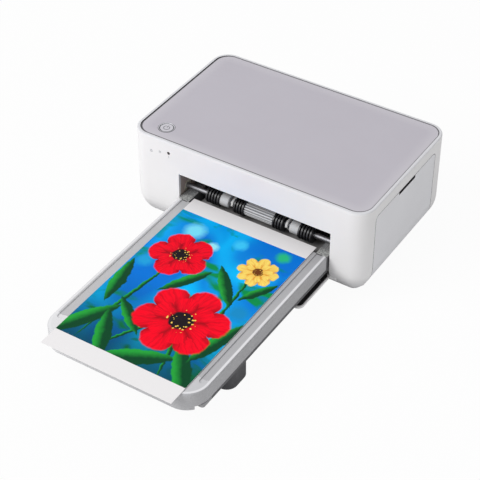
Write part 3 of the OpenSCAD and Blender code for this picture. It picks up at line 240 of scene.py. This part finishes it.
shell_white = tone(241, 240, 241)
painted_gap_shade = tone(58, 57, 60)
shell_corner = 13.5 * MM
plate_gap = 0.3 * MM
door_gap = 0.6 * MM
recess_deep = 8 * MM
rim_deep = 4 * MM
door_wall_t = 6 * MM
shell_low, shell_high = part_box("housing_shell")
shell_half = (shell_high - shell_low) / 2
plate_low, plate_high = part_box("top_plate")
door_low, door_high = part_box("ribbon_door")
rim_w = plate_low.x - shell_low.x - plate_gap
satin = moulded("satin_white", shell_white, 0.42)
from_side = inset(satin, (shell_low + shell_high) / 2, shell_half, shell_corner)
level = at(satin, "Z")

# the recess round the top plate lies in shadow, and its rear wall gets more light
recess = both(satin, over(satin, from_side, rim_w), over(satin, level, shell_high.z - recess_deep))
repaint(satin, recess, tone(84, 83, 87))
rear_wall = both(satin, recess, under(satin, facing(satin, "Y"), -0.5))
repaint(satin, rear_wall, tone(150, 149, 153))

# painted shade: the narrow faces of the door's hole are darkened as the shadow of the gap
hole_face = both(satin, under(satin, calc(satin, "ABSOLUTE", facing(satin, "X")), 0.3),
                 over(satin, at(satin, "X"), shell_high.x - door_wall_t))
door_half = (door_high.y - door_low.y) / 2
near_door = under(satin, away(satin, at(satin, "Y"), (door_low.y + door_high.y) / 2), door_half + door_gap)
near_door = both(satin, near_door, under(satin, level, door_high.z + door_gap))
repaint(satin, both(satin, hole_face, near_door), painted_gap_shade)

# painted shade: the belly is darkened as it curves under, and the rim round the plate is darkened a little
# too
repaint(satin, ramp(satin, facing(satin, "Z"), -0.15, -0.9, 0, 0.7), tone(150, 150, 156))
rim = both(satin, ramp(satin, facing(satin, "Z"), 0.1, 0.6, 0, 1), under(satin, from_side, rim_w))
rim = both(satin, rim, over(satin, level, shell_high.z - rim_deep))
repaint(satin, rim, tone(214, 214, 218))
dress(satin, "housing_shell", "base_pan")

door_white = moulded("door_white", tone(236, 236, 240), 0.4)
# painted shade: the door's narrow edge faces are darkened as the shadow of the gap round it
door_edge = under(door_white, calc(door_white, "ABSOLUTE", facing(door_white, "X")), 0.1)
repaint(door_white, door_edge, painted_gap_shade)
dress(door_white, "ribbon_door")
dress(moulded("foot_rubber", tone(52, 52, 54), 0.85, 0.6, 0.05), "rubber_feet")

# Front flap -----------------------------------------------------------------------------------
# The flap hangs forward under the cassette on two steel pins. It is moulded in the housing's
# white, and its inside, in the shade under the cassette, is painted dark as shade up to a narrow white
# edge.
flap = moulded("flap_white", shell_white, 0.38)
flap_low, flap_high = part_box("front_flap")
flap_half = (flap_high - flap_low) / 2
flap_corner = 4.5 * MM
flap_edge = 0.8 * MM
from_edge = inset(flap, flap_low + flap_half, flap_half, flap_corner)
# painted shade: the flap's upward faces inside its white edge are darkened
shaded_inside = both(flap, over(flap, facing(flap, "Z"), 0.6), over(flap, from_edge, flap_edge))
repaint(flap, shaded_inside, tone(46, 44, 46))
dress(flap, "front_flap")

# Steel small parts ----------------------------------------------------------------------------
# Screws, hinge pins, posts, catch, pivot rod and chassis plates are zinc-plated or bright steel.
# Turned parts show rings round the bar, and pressed plates show the direction of rolling.


def steel(name, colour, rough, stretch, size=0.25):
    """Bare metal with streaks along the axes of small stretch, and duller patches of handling."""
    made = finish(name, colour, rough, 1.0)
    streaks = noise(made, size, stretch, 3)
    patches = noise(made, 9, detail=3)
    hue = blend(made, ramp(made, patches, 0.3, 0.7, 0, 1), darker(colour, 0.86), colour)
    return wire(made, hue, ramp(made, streaks, 0.3, 0.7, rough - 0.08, rough + 0.1), streaks, 0.01, 0.35)


zinc = tone(196, 198, 203)
dress(steel("turned_steel", zinc, 0.3, (1, 0.08, 0.08)), "case_screws", "flap_pins", "idler_posts",
      "platen_core", "pinch_roller", "head_pivot", "cover_pins")
dress(steel("door_steel", zinc, 0.3, (0.08, 1, 0.08)), "door_pins", "door_catch")
dress(steel("pressed_steel", tone(178, 180, 186), 0.36, (1, 0.04, 0.6)), "left_plate", "right_plate",
      "tie_bars", "head_arm", "lift_plate")

# Top plate ------------------------------------------------------------------------------------
# A flat plate, painted light grey, lies on a ledge inside the rim of the shell with a thin gap
# all round. Its edges get a painted highlight, a little lighter than its middle.
plate_grey = tone(185, 181, 190)
plate_corner = 11.5 * MM
highlight_w = 9 * MM
shadow_w = 0.4 * MM
top_paint = moulded("top_grey", plate_grey, 0.46, 0.3, 0.015, 0.985)
plate_half = (plate_high - plate_low) / 2
# the shadow of the gap is a little broader along the front and the left
shade_shift = Vector((0.3, 0.35, 0)) * MM
plate_in = inset(top_paint, plate_low + plate_half + shade_shift, plate_half, plate_corner)
# painted highlight: the plate turns lighter toward its edges
repaint(top_paint, ramp(top_paint, plate_in, 0, highlight_w, 0.5, 0), tone(204, 201, 207))
repaint(top_paint, ramp(top_paint, plate_in, shadow_w, 2 * shadow_w, 1, 0), tone(84, 82, 86))
dress(top_paint, "top_plate")

# Power button ---------------------------------------------------------------------------------
# A round cap floats in a satin plated ring near the plate's front left corner, above a switch on
# a small board. The usual broken-ring sign of a power button is printed on the cap.
ring_edge = 1.9 * MM
cap_edge = 1.3 * MM
ring_low, ring_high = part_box("button_ring")
cap_low, cap_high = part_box("power_button")
plating = steel("ring_plating", tone(206, 206, 212), 0.5, (1, 1, 1))
plating.node_tree.nodes["Principled BSDF"].inputs["Metallic"].default_value = 0.3
cap_grey = moulded("button_grey", tone(201, 199, 206), 0.45, 0.3, 0.015)
# painted shade: ring and cap are darkened along their outer edges, where they meet the gap
for made, low, high, edge_w in (
    (plating, ring_low, ring_high, ring_edge),
    (cap_grey, cap_low, cap_high, cap_edge),
):
    half = (high - low) / 2
    repaint(made, under(made, inset(made, low + half, half, half.x), edge_w), painted_gap_shade)
dress(plating, "button_ring")
dress(cap_grey, "power_button")
ink_t = 0.02


def arc(middle, inner, outer, start, end, steps=28):
    """Outline of a band of arc between two radii, in mm."""
    turns = [math.radians(start + (end - start) * k / steps) for k in range(steps + 1)]
    ring = [(outer, t) for t in turns] + [(inner, t) for t in reversed(turns)]
    return [(middle[0] + r * math.cos(t), middle[1] + r * math.sin(t)) for r, t in ring]


def bar(x0, y0, x1, y1):
    """Outline of an upright bar, in mm."""
    return [(x0, y0), (x1, y0), (x1, y1), (x0, y1)]


def sign(name, outlines, corner, right, up, surface, body):
    """A printed sign: flat outlines in mm, laid on a face and raised by the ink."""
    points, faces = [], []
    out = right.cross(up)
    for outline in outlines:
        count, first = len(outline), len(points)
        for height in (0, ink_t):
            points += [corner + (right * a + up * b + out * height) * MM for a, b in outline]
        half_count = (count + 1) // 2
        for k in range(count):
            after = (k + 1) % count
            faces.append((first + k, first + after, first + count + after, first + count + k))
        # a band is closed by quads between its two edges
        for k in range(half_count - 1):
            quad = (first + k, first + k + 1, first + count - 2 - k, first + count - 1 - k)
            faces.append(tuple(reversed(quad)))
            faces.append(tuple(v + count for v in quad))
    mesh = bpy.data.meshes.new(name)
    mesh.from_pydata(points, [], faces)
    mesh.update()
    mesh.materials.append(surface)
    made = bpy.data.objects.new(name, mesh)
    bpy.context.scene.collection.objects.link(made)
    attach(made, body)


to_right = Vector((1, 0, 0))
to_rear = Vector((0, 1, 0))
upright = Vector((0, 0, 1))
sign_ink = moulded("sign_ink", tone(96, 94, 102), 0.5, 0.2, 0.005)
cap_top = Vector(((cap_low.x + cap_high.x) / 2, (cap_low.y + cap_high.y) / 2, cap_high.z))
power_outlines = [arc((0, 0), 2.05, 2.45, 122, 418), bar(-0.2, 0.3, 0.2, 2.9)]
sign("power_sign", power_outlines, cap_top, to_right, to_rear, sign_ink, "button")

# Status lamps ---------------------------------------------------------------------------------
# Two clear light pipes end flush in the front near its upper left corner, beside a dark sensor
# window. Faint signs are printed on the pipes and under the window.
dress(moulded("lens_clear", tone(228, 228, 230), 0.25, 0.5, 0.01), "status_lenses")
dress(moulded("lens_black", tone(28, 28, 30), 0.2, 0.5, 0.01), "sensor_window")
faint_ink = moulded("faint_ink", tone(176, 176, 180), 0.5, 0.2, 0.005)
face_y = min(shell_low.y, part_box("status_lenses")[0].y)
paper_outlines = [arc((0, 0), 0.75, 1.0, 60, 360), bar(-0.12, 0.1, 0.12, 1.1)]
signal_outlines = [arc((0, -0.8), 1.5, 1.75, 45, 135), arc((0, -0.8), 0.85, 1.1, 45, 135),
                   bar(-0.22, -0.95, 0.22, -0.5)]
sensor_outlines = [bar(-0.18, -0.9, 0.18, 0.9)]
# each sign's distances in mm from the shell's left end and from its top
for name, from_left, from_top, outlines in (
    ("paper_sign", 18.55, 12.7, paper_outlines),
    ("signal_sign", 26.05, 11.0, signal_outlines),
    ("sensor_sign", 33.65, 12.6, sensor_outlines),
):
    corner = Vector((shell_low.x + from_left * MM, face_y, shell_high.z - from_top * MM))
    sign(name, outlines, corner, to_right, upright, faint_ink, "housing")

# Opening --------------------------------------------------------------------------------------
# A dark moulded lining with cheeks, roof and rear wall hides the chassis behind the front
# opening, with painted light on its cheeks. The rear slot, where the print leaves for a moment,
# has a bezel of the same plastic.
cheek_painted_light = tone(176, 162, 156)
lining_black = tone(40, 38, 40)
# painted light: the cheeks are painted a paler grey than the rest of the lining
dress(moulded("lining_painted_light_grey", cheek_painted_light, 0.6, 0.5, 0.04, 0.85), "opening_frame")
lining = moulded("lining_black", lining_black, 0.55, 0.5, 0.04, 0.85)
lining_low, lining_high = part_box("rear_lining")
# painted light: the wall is painted paler beyond the rollers, at both ends
rollers_half = 44 * MM
from_middle = away(lining, at(lining, "X"), (lining_low.x + lining_high.x) / 2)
repaint(lining, over(lining, from_middle, rollers_half), tone(128, 118, 114))
dress(lining, "rear_lining")
dress(moulded("bezel_black", lining_black, 0.55, 0.5, 0.04, 0.85), "slot_bezel")

# Feed rollers ---------------------------------------------------------------------------------
# A steel shaft carries a fluted centre roller, two side rollers and four black ribbed collars.
# White hooks between them press the leaving print against the rollers.


def speckled(name, colour, rough, size, share):
    """Moulded rubber with fine darker grains."""
    made = finish(name, colour, rough)
    grains = ramp(made, noise(made, size, detail=4), 0.42, 0.6, 0, 1)
    hue = blend(made, grains, darker(colour, share), colour)
    return wire(made, hue, None, noise(made, size * 0.6, detail=3), 0.05, 0.6)


dress(steel("shaft_steel", tone(150, 150, 154), 0.5, (1, 0.08, 0.08)), "feed_shaft", "grip_roller")
dress(speckled("roller_grey", tone(204, 205, 207), 0.6, 0.5, 0.85), "side_rollers")
fluted = speckled("fluted_grey", tone(212, 213, 216), 0.6, 0.5, 0.9)
# painted shade: the flutes are darkened in their valleys, which are told by their distance from the axle
roller_low, roller_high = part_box("centre_roller")
roller_r = (roller_high.z - roller_low.z) / 2
axle_y = (roller_low.y + roller_high.y) / 2
axle_z = (roller_low.z + roller_high.z) / 2
off_y = calc(fluted, "SUBTRACT", at(fluted, "Y"), axle_y)
off_z = calc(fluted, "SUBTRACT", at(fluted, "Z"), axle_z)
squares = calc(fluted, "MULTIPLY_ADD", off_y, off_y, calc(fluted, "MULTIPLY", off_z, off_z))
valley_shade = ramp(fluted, calc(fluted, "SQRT", squares), roller_r - 0.35 * MM, roller_r - 0.1 * MM, 1, 0)
repaint(fluted, valley_shade, tone(120, 120, 122))
dress(fluted, "centre_roller")
dress(moulded("collar_black", tone(40, 40, 43), 0.35, 0.4, 0.03, 0.8), "ribbed_collars")
dress(moulded("hook_white", tone(206, 206, 206), 0.55, 0.4), "sheet_hooks")

# Gear train -----------------------------------------------------------------------------------
# The gears are moulded in acetal and run on steel posts and journals at the left of the chassis.
# The motor's pinion is brass, pressed on to its shaft, and the motor's can is drawn steel.
dress(moulded("gear_acetal", tone(228, 224, 208), 0.35, 0.5, 0.02), "feed_gear", "idler_gear_a",
      "idler_gear_b", "grip_gear", "takeup_gear", "shaft_bushes")
dress(steel("pinion_brass", tone(214, 178, 96), 0.28, (1, 0.08, 0.08)), "motor_pinion")
dress(steel("motor_can", tone(150, 152, 158), 0.34, (0.05, 1, 1)), "drive_motor")

# Print engine ---------------------------------------------------------------------------------
# A rubber platen presses the paper on the heated bar of the print head. The head sits under
# an extruded aluminium sink with fins, on the lifting arm.
dress(speckled("platen_rubber", tone(58, 58, 60), 0.7, 0.3, 0.75), "platen_sleeve")
dress(steel("extruded_aluminium", tone(206, 208, 212), 0.38, (0.03, 1, 1)), "heat_sink")
dress(moulded("head_bar", tone(120, 84, 58), 0.3, 0.5, 0.02), "thermal_head")

# Ribbon cartridge -----------------------------------------------------------------------------
# A grey moulded case holds two dark spools, with amber ink film running between them under the
# head. The whole cartridge leaves through the ribbon door.
dress(moulded("cartridge_grey", tone(112, 118, 130), 0.5, 0.4, 0.03, 0.9), "ribbon_case")
dress(moulded("spool_dark", tone(58, 58, 64), 0.45, 0.4, 0.03, 0.9), "supply_spool", "takeup_spool")
dress(moulded("ink_film", tone(196, 120, 44), 0.2, 3, 0.05, 0.9), "ribbon_film")

# Main board -----------------------------------------------------------------------------------
# A green circuit board with soldered parts lies in the base pan, with the power inlet at the
# rear. The button's switch sits on a small board of the same kind.
board_green = tone(24, 92, 58)
board_skin = finish("board_green", board_green, 0.35)
tracks = add(board_skin, "TexBrick", {"Scale": 1 / (14 * MM), "Mortar Size": 0.03, "Brick Width": 0.4,
                                      "Row Height": 0.2}, Vector=place(board_skin)).outputs["Fac"]
wire(board_skin, blend(board_skin, tracks, board_green, tone(66, 132, 84)), None, tracks, 0.03, 0.5)
dress(board_skin, "main_board", "button_switch")
dress(moulded("board_parts", tone(44, 44, 48), 0.45, 0.5, 0.03, 0.8), "board_parts")
dress(moulded("inlet_black", tone(34, 34, 36), 0.5, 0.4, 0.03, 0.8), "power_inlet")

# Cassette -------------------------------------------------------------------------------------
# The tray that holds blank paper is moulded in dark grey, with a leg under it. Its cover is
# smoke-grey translucent plastic, hinged at the front end, and the finished print slides out on to it.
tray_grey = tone(96, 96, 99)
nose_long = 16 * MM
dress(moulded("leg_dark", tray_grey, 0.5, 0.4, 0.04, 0.9), "tray_leg")
base = moulded("cassette_dark", tray_grey, 0.5, 0.4, 0.04, 0.9)
cover_low, cover_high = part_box("tray_cover")
along_base = at(base, "Y")
# the nose of the base is as pale as the cover round it
repaint(base, under(base, along_base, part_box("tray_base")[0].y + nose_long), tone(158, 158, 160))
# its shoulders behind the cover are scuffed by the drawing in and out, mostly near the cover
least_rub = 0.35
rubbed = ramp(base, along_base, cover_high.y + 5 * MM, cover_high.y + 8 * MM, 1, least_rub)
rubbed = calc(base, "MAXIMUM", calc(base, "MINIMUM", rubbed, 1.0), least_rub)
rubbed = both(base, rubbed, over(base, along_base, cover_high.y))
scuffs = both(base, rubbed, ramp(base, noise(base, 0.8, detail=3), 0.36, 0.56, 0, 1))
repaint(base, both(base, scuffs, over(base, facing(base, "Z"), 0.6)), tone(184, 186, 184))
dress(base, "tray_base")

cover = moulded("cover_smoke", tone(182, 182, 186), 0.4, 0.5, 0.02, 0.96)
cover_half = (cover_high - cover_low) / 2
cover_corner = 17 * MM
corner_pad = 20 * MM
edge_w = 2 * MM
# the outline has round corners at the front end only, so it's drawn longer at the rear
longer = Vector((0, 50, 0)) * MM
depth = inset(cover, cover_low + cover_half + longer, cover_half + longer, cover_corner)
lit_left_share = ramp(cover, at(cover, "X"), cover_high.x, cover_low.x, 0, 1)


def smoke(right, left):
    """The smoke grey with painted light, paler toward the left side."""
    return blend(cover, lit_left_share, tone(right, right, right + 3), tone(left, left, left + 2))


behind_corners = over(cover, at(cover, "Y"), cover_low.y + corner_pad)
panel = blend(cover, behind_corners, smoke(194, 224), smoke(174, 188))
# painted highlight: a bright line along the cover's outer edge
edge_highlight = blend(cover, ramp(cover, depth, 0.3 * MM, 0.9 * MM, 0, 1), smoke(190, 214), smoke(224, 228))
top_hue = blend(cover, ramp(cover, depth, edge_w, edge_w + 0.6 * MM, 0, 1), edge_highlight, panel)
grain = ramp(cover, noise(cover, 0.5, detail=3), 0.35, 0.65, 0, 1)
side_hue = blend(cover, grain, smoke(168, 200), smoke(190, 226))
wire(cover, blend(cover, over(cover, facing(cover, "Z"), 0.6), side_hue, top_hue))
dress(cover, "tray_cover")

# Paper ----------------------------------------------------------------------------------------
# Coated photo paper, with a plain tab at each end of the print that is torn off later. The picture
# between the tabs is a garden view: red and yellow blooms over a blurred blue and green ground.
paper = tone(235, 233, 234)
stack = moulded("stack_paper", tone(214, 212, 214), 0.6, 0.2, 0.01, 0.99)
stack_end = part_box("paper_stack")[1].y
# the end of the stack lies deep in the shadow of the housing
in_shadow = ramp(stack, at(stack, "Y"), stack_end - 26 * MM, stack_end - 20 * MM, 0, 1)
repaint(stack, in_shadow, tone(140, 138, 138))
dress(stack, "paper_stack")

print_low, print_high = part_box("print_sheet")
front_tab = 15.7 * MM
rear_tab = 14.4 * MM
picture_front = print_low.y + front_tab
picture_rear = print_high.y - rear_tab
middle_x = (print_low.x + print_high.x) / 2
middle_y = (picture_front + picture_rear) / 2
art = moulded("print_gloss", paper, 0.5, 0.5, 0.006, 0.99)
art.node_tree.nodes["Principled BSDF"].inputs["Specular IOR Level"].default_value = 0.1
# the outlines in the picture wander a little, as grown things do
wander = 3 * MM
cloud = add(art, "TexNoise", {"Scale": 260.0, "Detail": 3.0}, Vector=place(art)).outputs["Color"]
drift = add(art, "VectorMath", {"operation": "MULTIPLY_ADD"}, _0=cloud, _2=place(art))
drift.inputs[1].default_value = (wander, wander, 0)
drifted = drift.outputs["Vector"]


def spot(across, along, long, wide, turn):
    """Places on the picture measured from a spot, in half lengths and half widths. The height in
    the sheet is divided by so much that it doesn't count."""
    return add(art, "Mapping", {
        "vector_type": "TEXTURE",
        "Location": (middle_x + across * MM + wander / 2, middle_y + along * MM + wander / 2, 0),
        "Rotation": (0, 0, math.radians(turn)),
        "Scale": (long * MM, wide * MM, 1000),
    }, Vector=drifted).outputs["Vector"]


def far(where):
    """How far a place is from its spot, in half sizes."""
    return add(art, "VectorMath", {"operation": "LENGTH"}, Vector=where).outputs["Value"]


def glow(back, colour, across, along, size):
    """A soft round light in the blurred ground."""
    away_from = far(spot(across, along, size, size, 0))
    return blend(art, ramp(art, away_from, 0.6, 1.15, 0.8, 0), back, colour)


def leaf(back, across, along, long, wide, turn, bright, deep):
    """A pointed leaf, lighter on one side of its midrib."""
    parts = add(art, "SeparateXYZ", {}, Vector=spot(across, along, long, wide, turn))
    lengthwise, sidewise = parts.outputs["X"], parts.outputs["Y"]
    bulge = calc(art, "MULTIPLY_ADD", calc(art, "MULTIPLY", lengthwise, lengthwise), -1.0, 1.0)
    inside = calc(art, "SUBTRACT", bulge, calc(art, "ABSOLUTE", sidewise))
    hue = blend(art, ramp(art, sidewise, -0.12, 0.7, 0, 1), deep, bright)
    return blend(art, ramp(art, inside, -0.06, 0.06, 0, 1), back, hue)


def bloom(back, across, along, size, petals, first, bright, deep, heart):
    """Two rows of petals with creases between them, round a dark heart ringed with pollen."""
    where = spot(across, along, size, size, first)
    parts = add(art, "SeparateXYZ", {}, Vector=where)
    angle = calc(art, "ARCTAN2", parts.outputs["Y"], parts.outputs["X"])
    reach = far(where)
    rays = add(art, "CombineXYZ", {}, X=calc(art, "MULTIPLY", angle, 7.0), Y=reach).outputs[0]
    veins = add(art, "TexNoise", {"Scale": 2.2, "Detail": 2.0}, Vector=rays).outputs["Fac"]
    for row, phase in ((1.0, 0.0), (0.68, math.pi / 2)):
        wave = calc(art, "COSINE", calc(art, "MULTIPLY_ADD", angle, petals / 2, phase))
        lobe = calc(art, "ABSOLUTE", wave)
        edge = calc(art, "MULTIPLY_ADD", calc(art, "POWER", lobe, 0.45), 0.34 * row, 0.66 * row)
        share = calc(art, "DIVIDE", reach, edge)
        hue = blend(art, ramp(art, lobe, 0.05, 0.62, 0, 1), deep, bright)
        hue = blend(art, ramp(art, veins, 0.45, 0.75, 0, 0.55), hue, deep)
        hue = blend(art, ramp(art, share, 0.25, 0.75, 0.5, 0), hue, deep)
        back = blend(art, ramp(art, share, 0.975, 1.025, 1, 0), back, hue)
    back = blend(art, ramp(art, reach, 0.24, 0.28, 1, 0), back, heart)
    grains = add(art, "TexVoronoi", {"Scale": 13.0}, Vector=where).outputs["Distance"]
    ring = calc(art, "SUBTRACT", 0.1, away(art, reach, 0.25))
    pollen = both(art, over(art, ring, 0.0), under(art, grains, 0.28))
    return blend(art, pollen, back, tone(252, 208, 92))


def garden_ground():
    """The blurred ground: broad drifts of cyan, blue and green, darker toward the near end."""
    broad = add(art, "TexNoise", {"Scale": 24.0, "Detail": 1.5, "Distortion": 0.6},
                Vector=place(art, (1, 0.6, 1))).outputs["Fac"]
    fine = add(art, "TexNoise", {"Scale": 42.0, "Detail": 2.0, "Distortion": 1.4},
               Vector=place(art, (0.6, 1, 1))).outputs["Fac"]
    hue = blend(art, ramp(art, broad, 0.4, 0.6, 0, 1), tone(0, 116, 216), tone(0, 190, 255))
    hue = blend(art, ramp(art, fine, 0.52, 0.66, 0, 1), hue, tone(0, 140, 74))
    return blend(art, ramp(art, at(art, "Y"), picture_front, middle_y, 0.85, 0), hue, tone(0, 58, 44))


# places across and along the picture are in mm from its middle, and turns are in degrees
view = garden_ground()
for across, along, size, light in (
    (-30, 58, 9, (120, 224, 250)), (6, 62, 6, (60, 200, 250)), (-42, 14, 7, (30, 160, 220)),
    (42, 2, 8, (20, 140, 200)), (-10, 50, 5, (150, 234, 250)), (38, 66, 6, (40, 190, 130)),
):
    view = glow(view, tone(*light), across, along, size)
leaf_bright = tone(36, 160, 58)
leaf_deep = tone(0, 66, 34)
for across, along, long, wide, turn in (
    # stems, which are very narrow leaves
    (-4, -42, 46, 1.5, 62), (24, -52, 26, 1.5, 104), (-30, -22, 54, 1.4, 82), (32, 8, 44, 1.2, 94),
    # leaves
    (-42, -56, 28, 6.5, 60), (-22, -62, 26, 6, 116), (8, -68, 28, 7, 28), (40, -62, 26, 6.5, 124),
    (-45, -12, 24, 5.2, 100), (45, -30, 26, 5.4, 76), (20, 20, 22, 4.6, 130), (-6, 10, 21, 4.4, 58),
    (-18, -38, 20, 4.4, 140), (42, 26, 16, 3.6, 60),
):
    view = leaf(view, across, along, long, wide, turn, leaf_bright, leaf_deep)
dark_heart = tone(22, 12, 20)
view = bloom(view, 31, 44, 15, 8, 8, tone(255, 224, 110), tone(232, 150, 44), tone(112, 60, 24))
view = bloom(view, -24, 31, 23, 5, 50, tone(250, 0, 36), tone(160, 0, 24), dark_heart)
view = bloom(view, 14, -24, 33, 6, 20, tone(252, 0, 36), tone(168, 0, 22), dark_heart)
along_print = at(art, "Y")
between_tabs = both(art, over(art, along_print, picture_front), under(art, along_print, picture_rear))
shown = both(art, between_tabs, over(art, facing(art, "Z"), 0.5))
wire(art, blend(art, shown, paper, view))
dress(art, "print_sheet")

# Studio ---------------------------------------------------------------------------------------
# The printer stands on a pale plain floor under three soft square lamps, in an even pale
# surround. Seen straight on, floor and surround are near white; their light on the printer is less.
bpy.ops.mesh.primitive_plane_add(size=8, location=(0, 0, -0.0002))
floor = bpy.context.object
floor.name = "floor"
floor_white = finish("floor_white", (0.75, 0.75, 0.75, 1), 0.9)
seen_straight = add(floor_white, "LightPath").outputs["Is Camera Ray"]
shine = add(floor_white, "Emission", {"Color": (1, 1, 1, 1), "Strength": 1.0}).outputs[0]
floor_skin = floor_white.node_tree.nodes["Principled BSDF"].outputs[0]
floor_mix = add(floor_white, "MixShader", {}, _0=calc(floor_white, "MULTIPLY", seen_straight, 0.95),
                _1=floor_skin, _2=shine).outputs[0]
floor_out = floor_white.node_tree.nodes["Material Output"]
floor_white.node_tree.links.new(floor_mix, floor_out.inputs["Surface"])
floor.data.materials.append(floor_white)
floor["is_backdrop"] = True

lamp_aim = Vector((0, 0.03, 0.04))
for name, lamp_place, power in (
    ("key", (-0.9, -1.5, 1.7), 42),
    ("fill", (1.7, -0.5, 1.0), 2.5),
    ("back", (0.5, 1.8, 1.1), 5),
):
    lamp = bpy.data.lights.new(name, "AREA")
    lamp.size = 1.4
    lamp.energy = power
    holder = bpy.data.objects.new(name, lamp)
    holder.location = lamp_place
    holder.rotation_euler = (lamp_aim - Vector(lamp_place)).to_track_quat("-Z", "Y").to_euler()
    bpy.context.scene.collection.objects.link(holder)

world = bpy.data.worlds.new("surround")
world.use_nodes = True
bpy.context.scene.world = world
sky = world.node_tree.nodes["Background"]
sky.inputs["Color"].default_value = (1, 1, 1, 1)
path = world.node_tree.nodes.new("ShaderNodeLightPath")
# white where it is seen or mirrored, and dimmer as a light
direct = world.node_tree.nodes.new("ShaderNodeMath")
direct.operation = "MAXIMUM"
world.node_tree.links.new(path.outputs["Is Camera Ray"], direct.inputs[0])
world.node_tree.links.new(path.outputs["Is Glossy Ray"], direct.inputs[1])
bright = world.node_tree.nodes.new("ShaderNodeMapRange")
bright.inputs["To Min"].default_value = 0.46
bright.inputs["To Max"].default_value = 1.0
world.node_tree.links.new(direct.outputs[0], bright.inputs["Value"])
world.node_tree.links.new(bright.outputs["Result"], sky.inputs["Strength"])
bpy.context.scene.view_settings.view_transform = "Standard"

low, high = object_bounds()
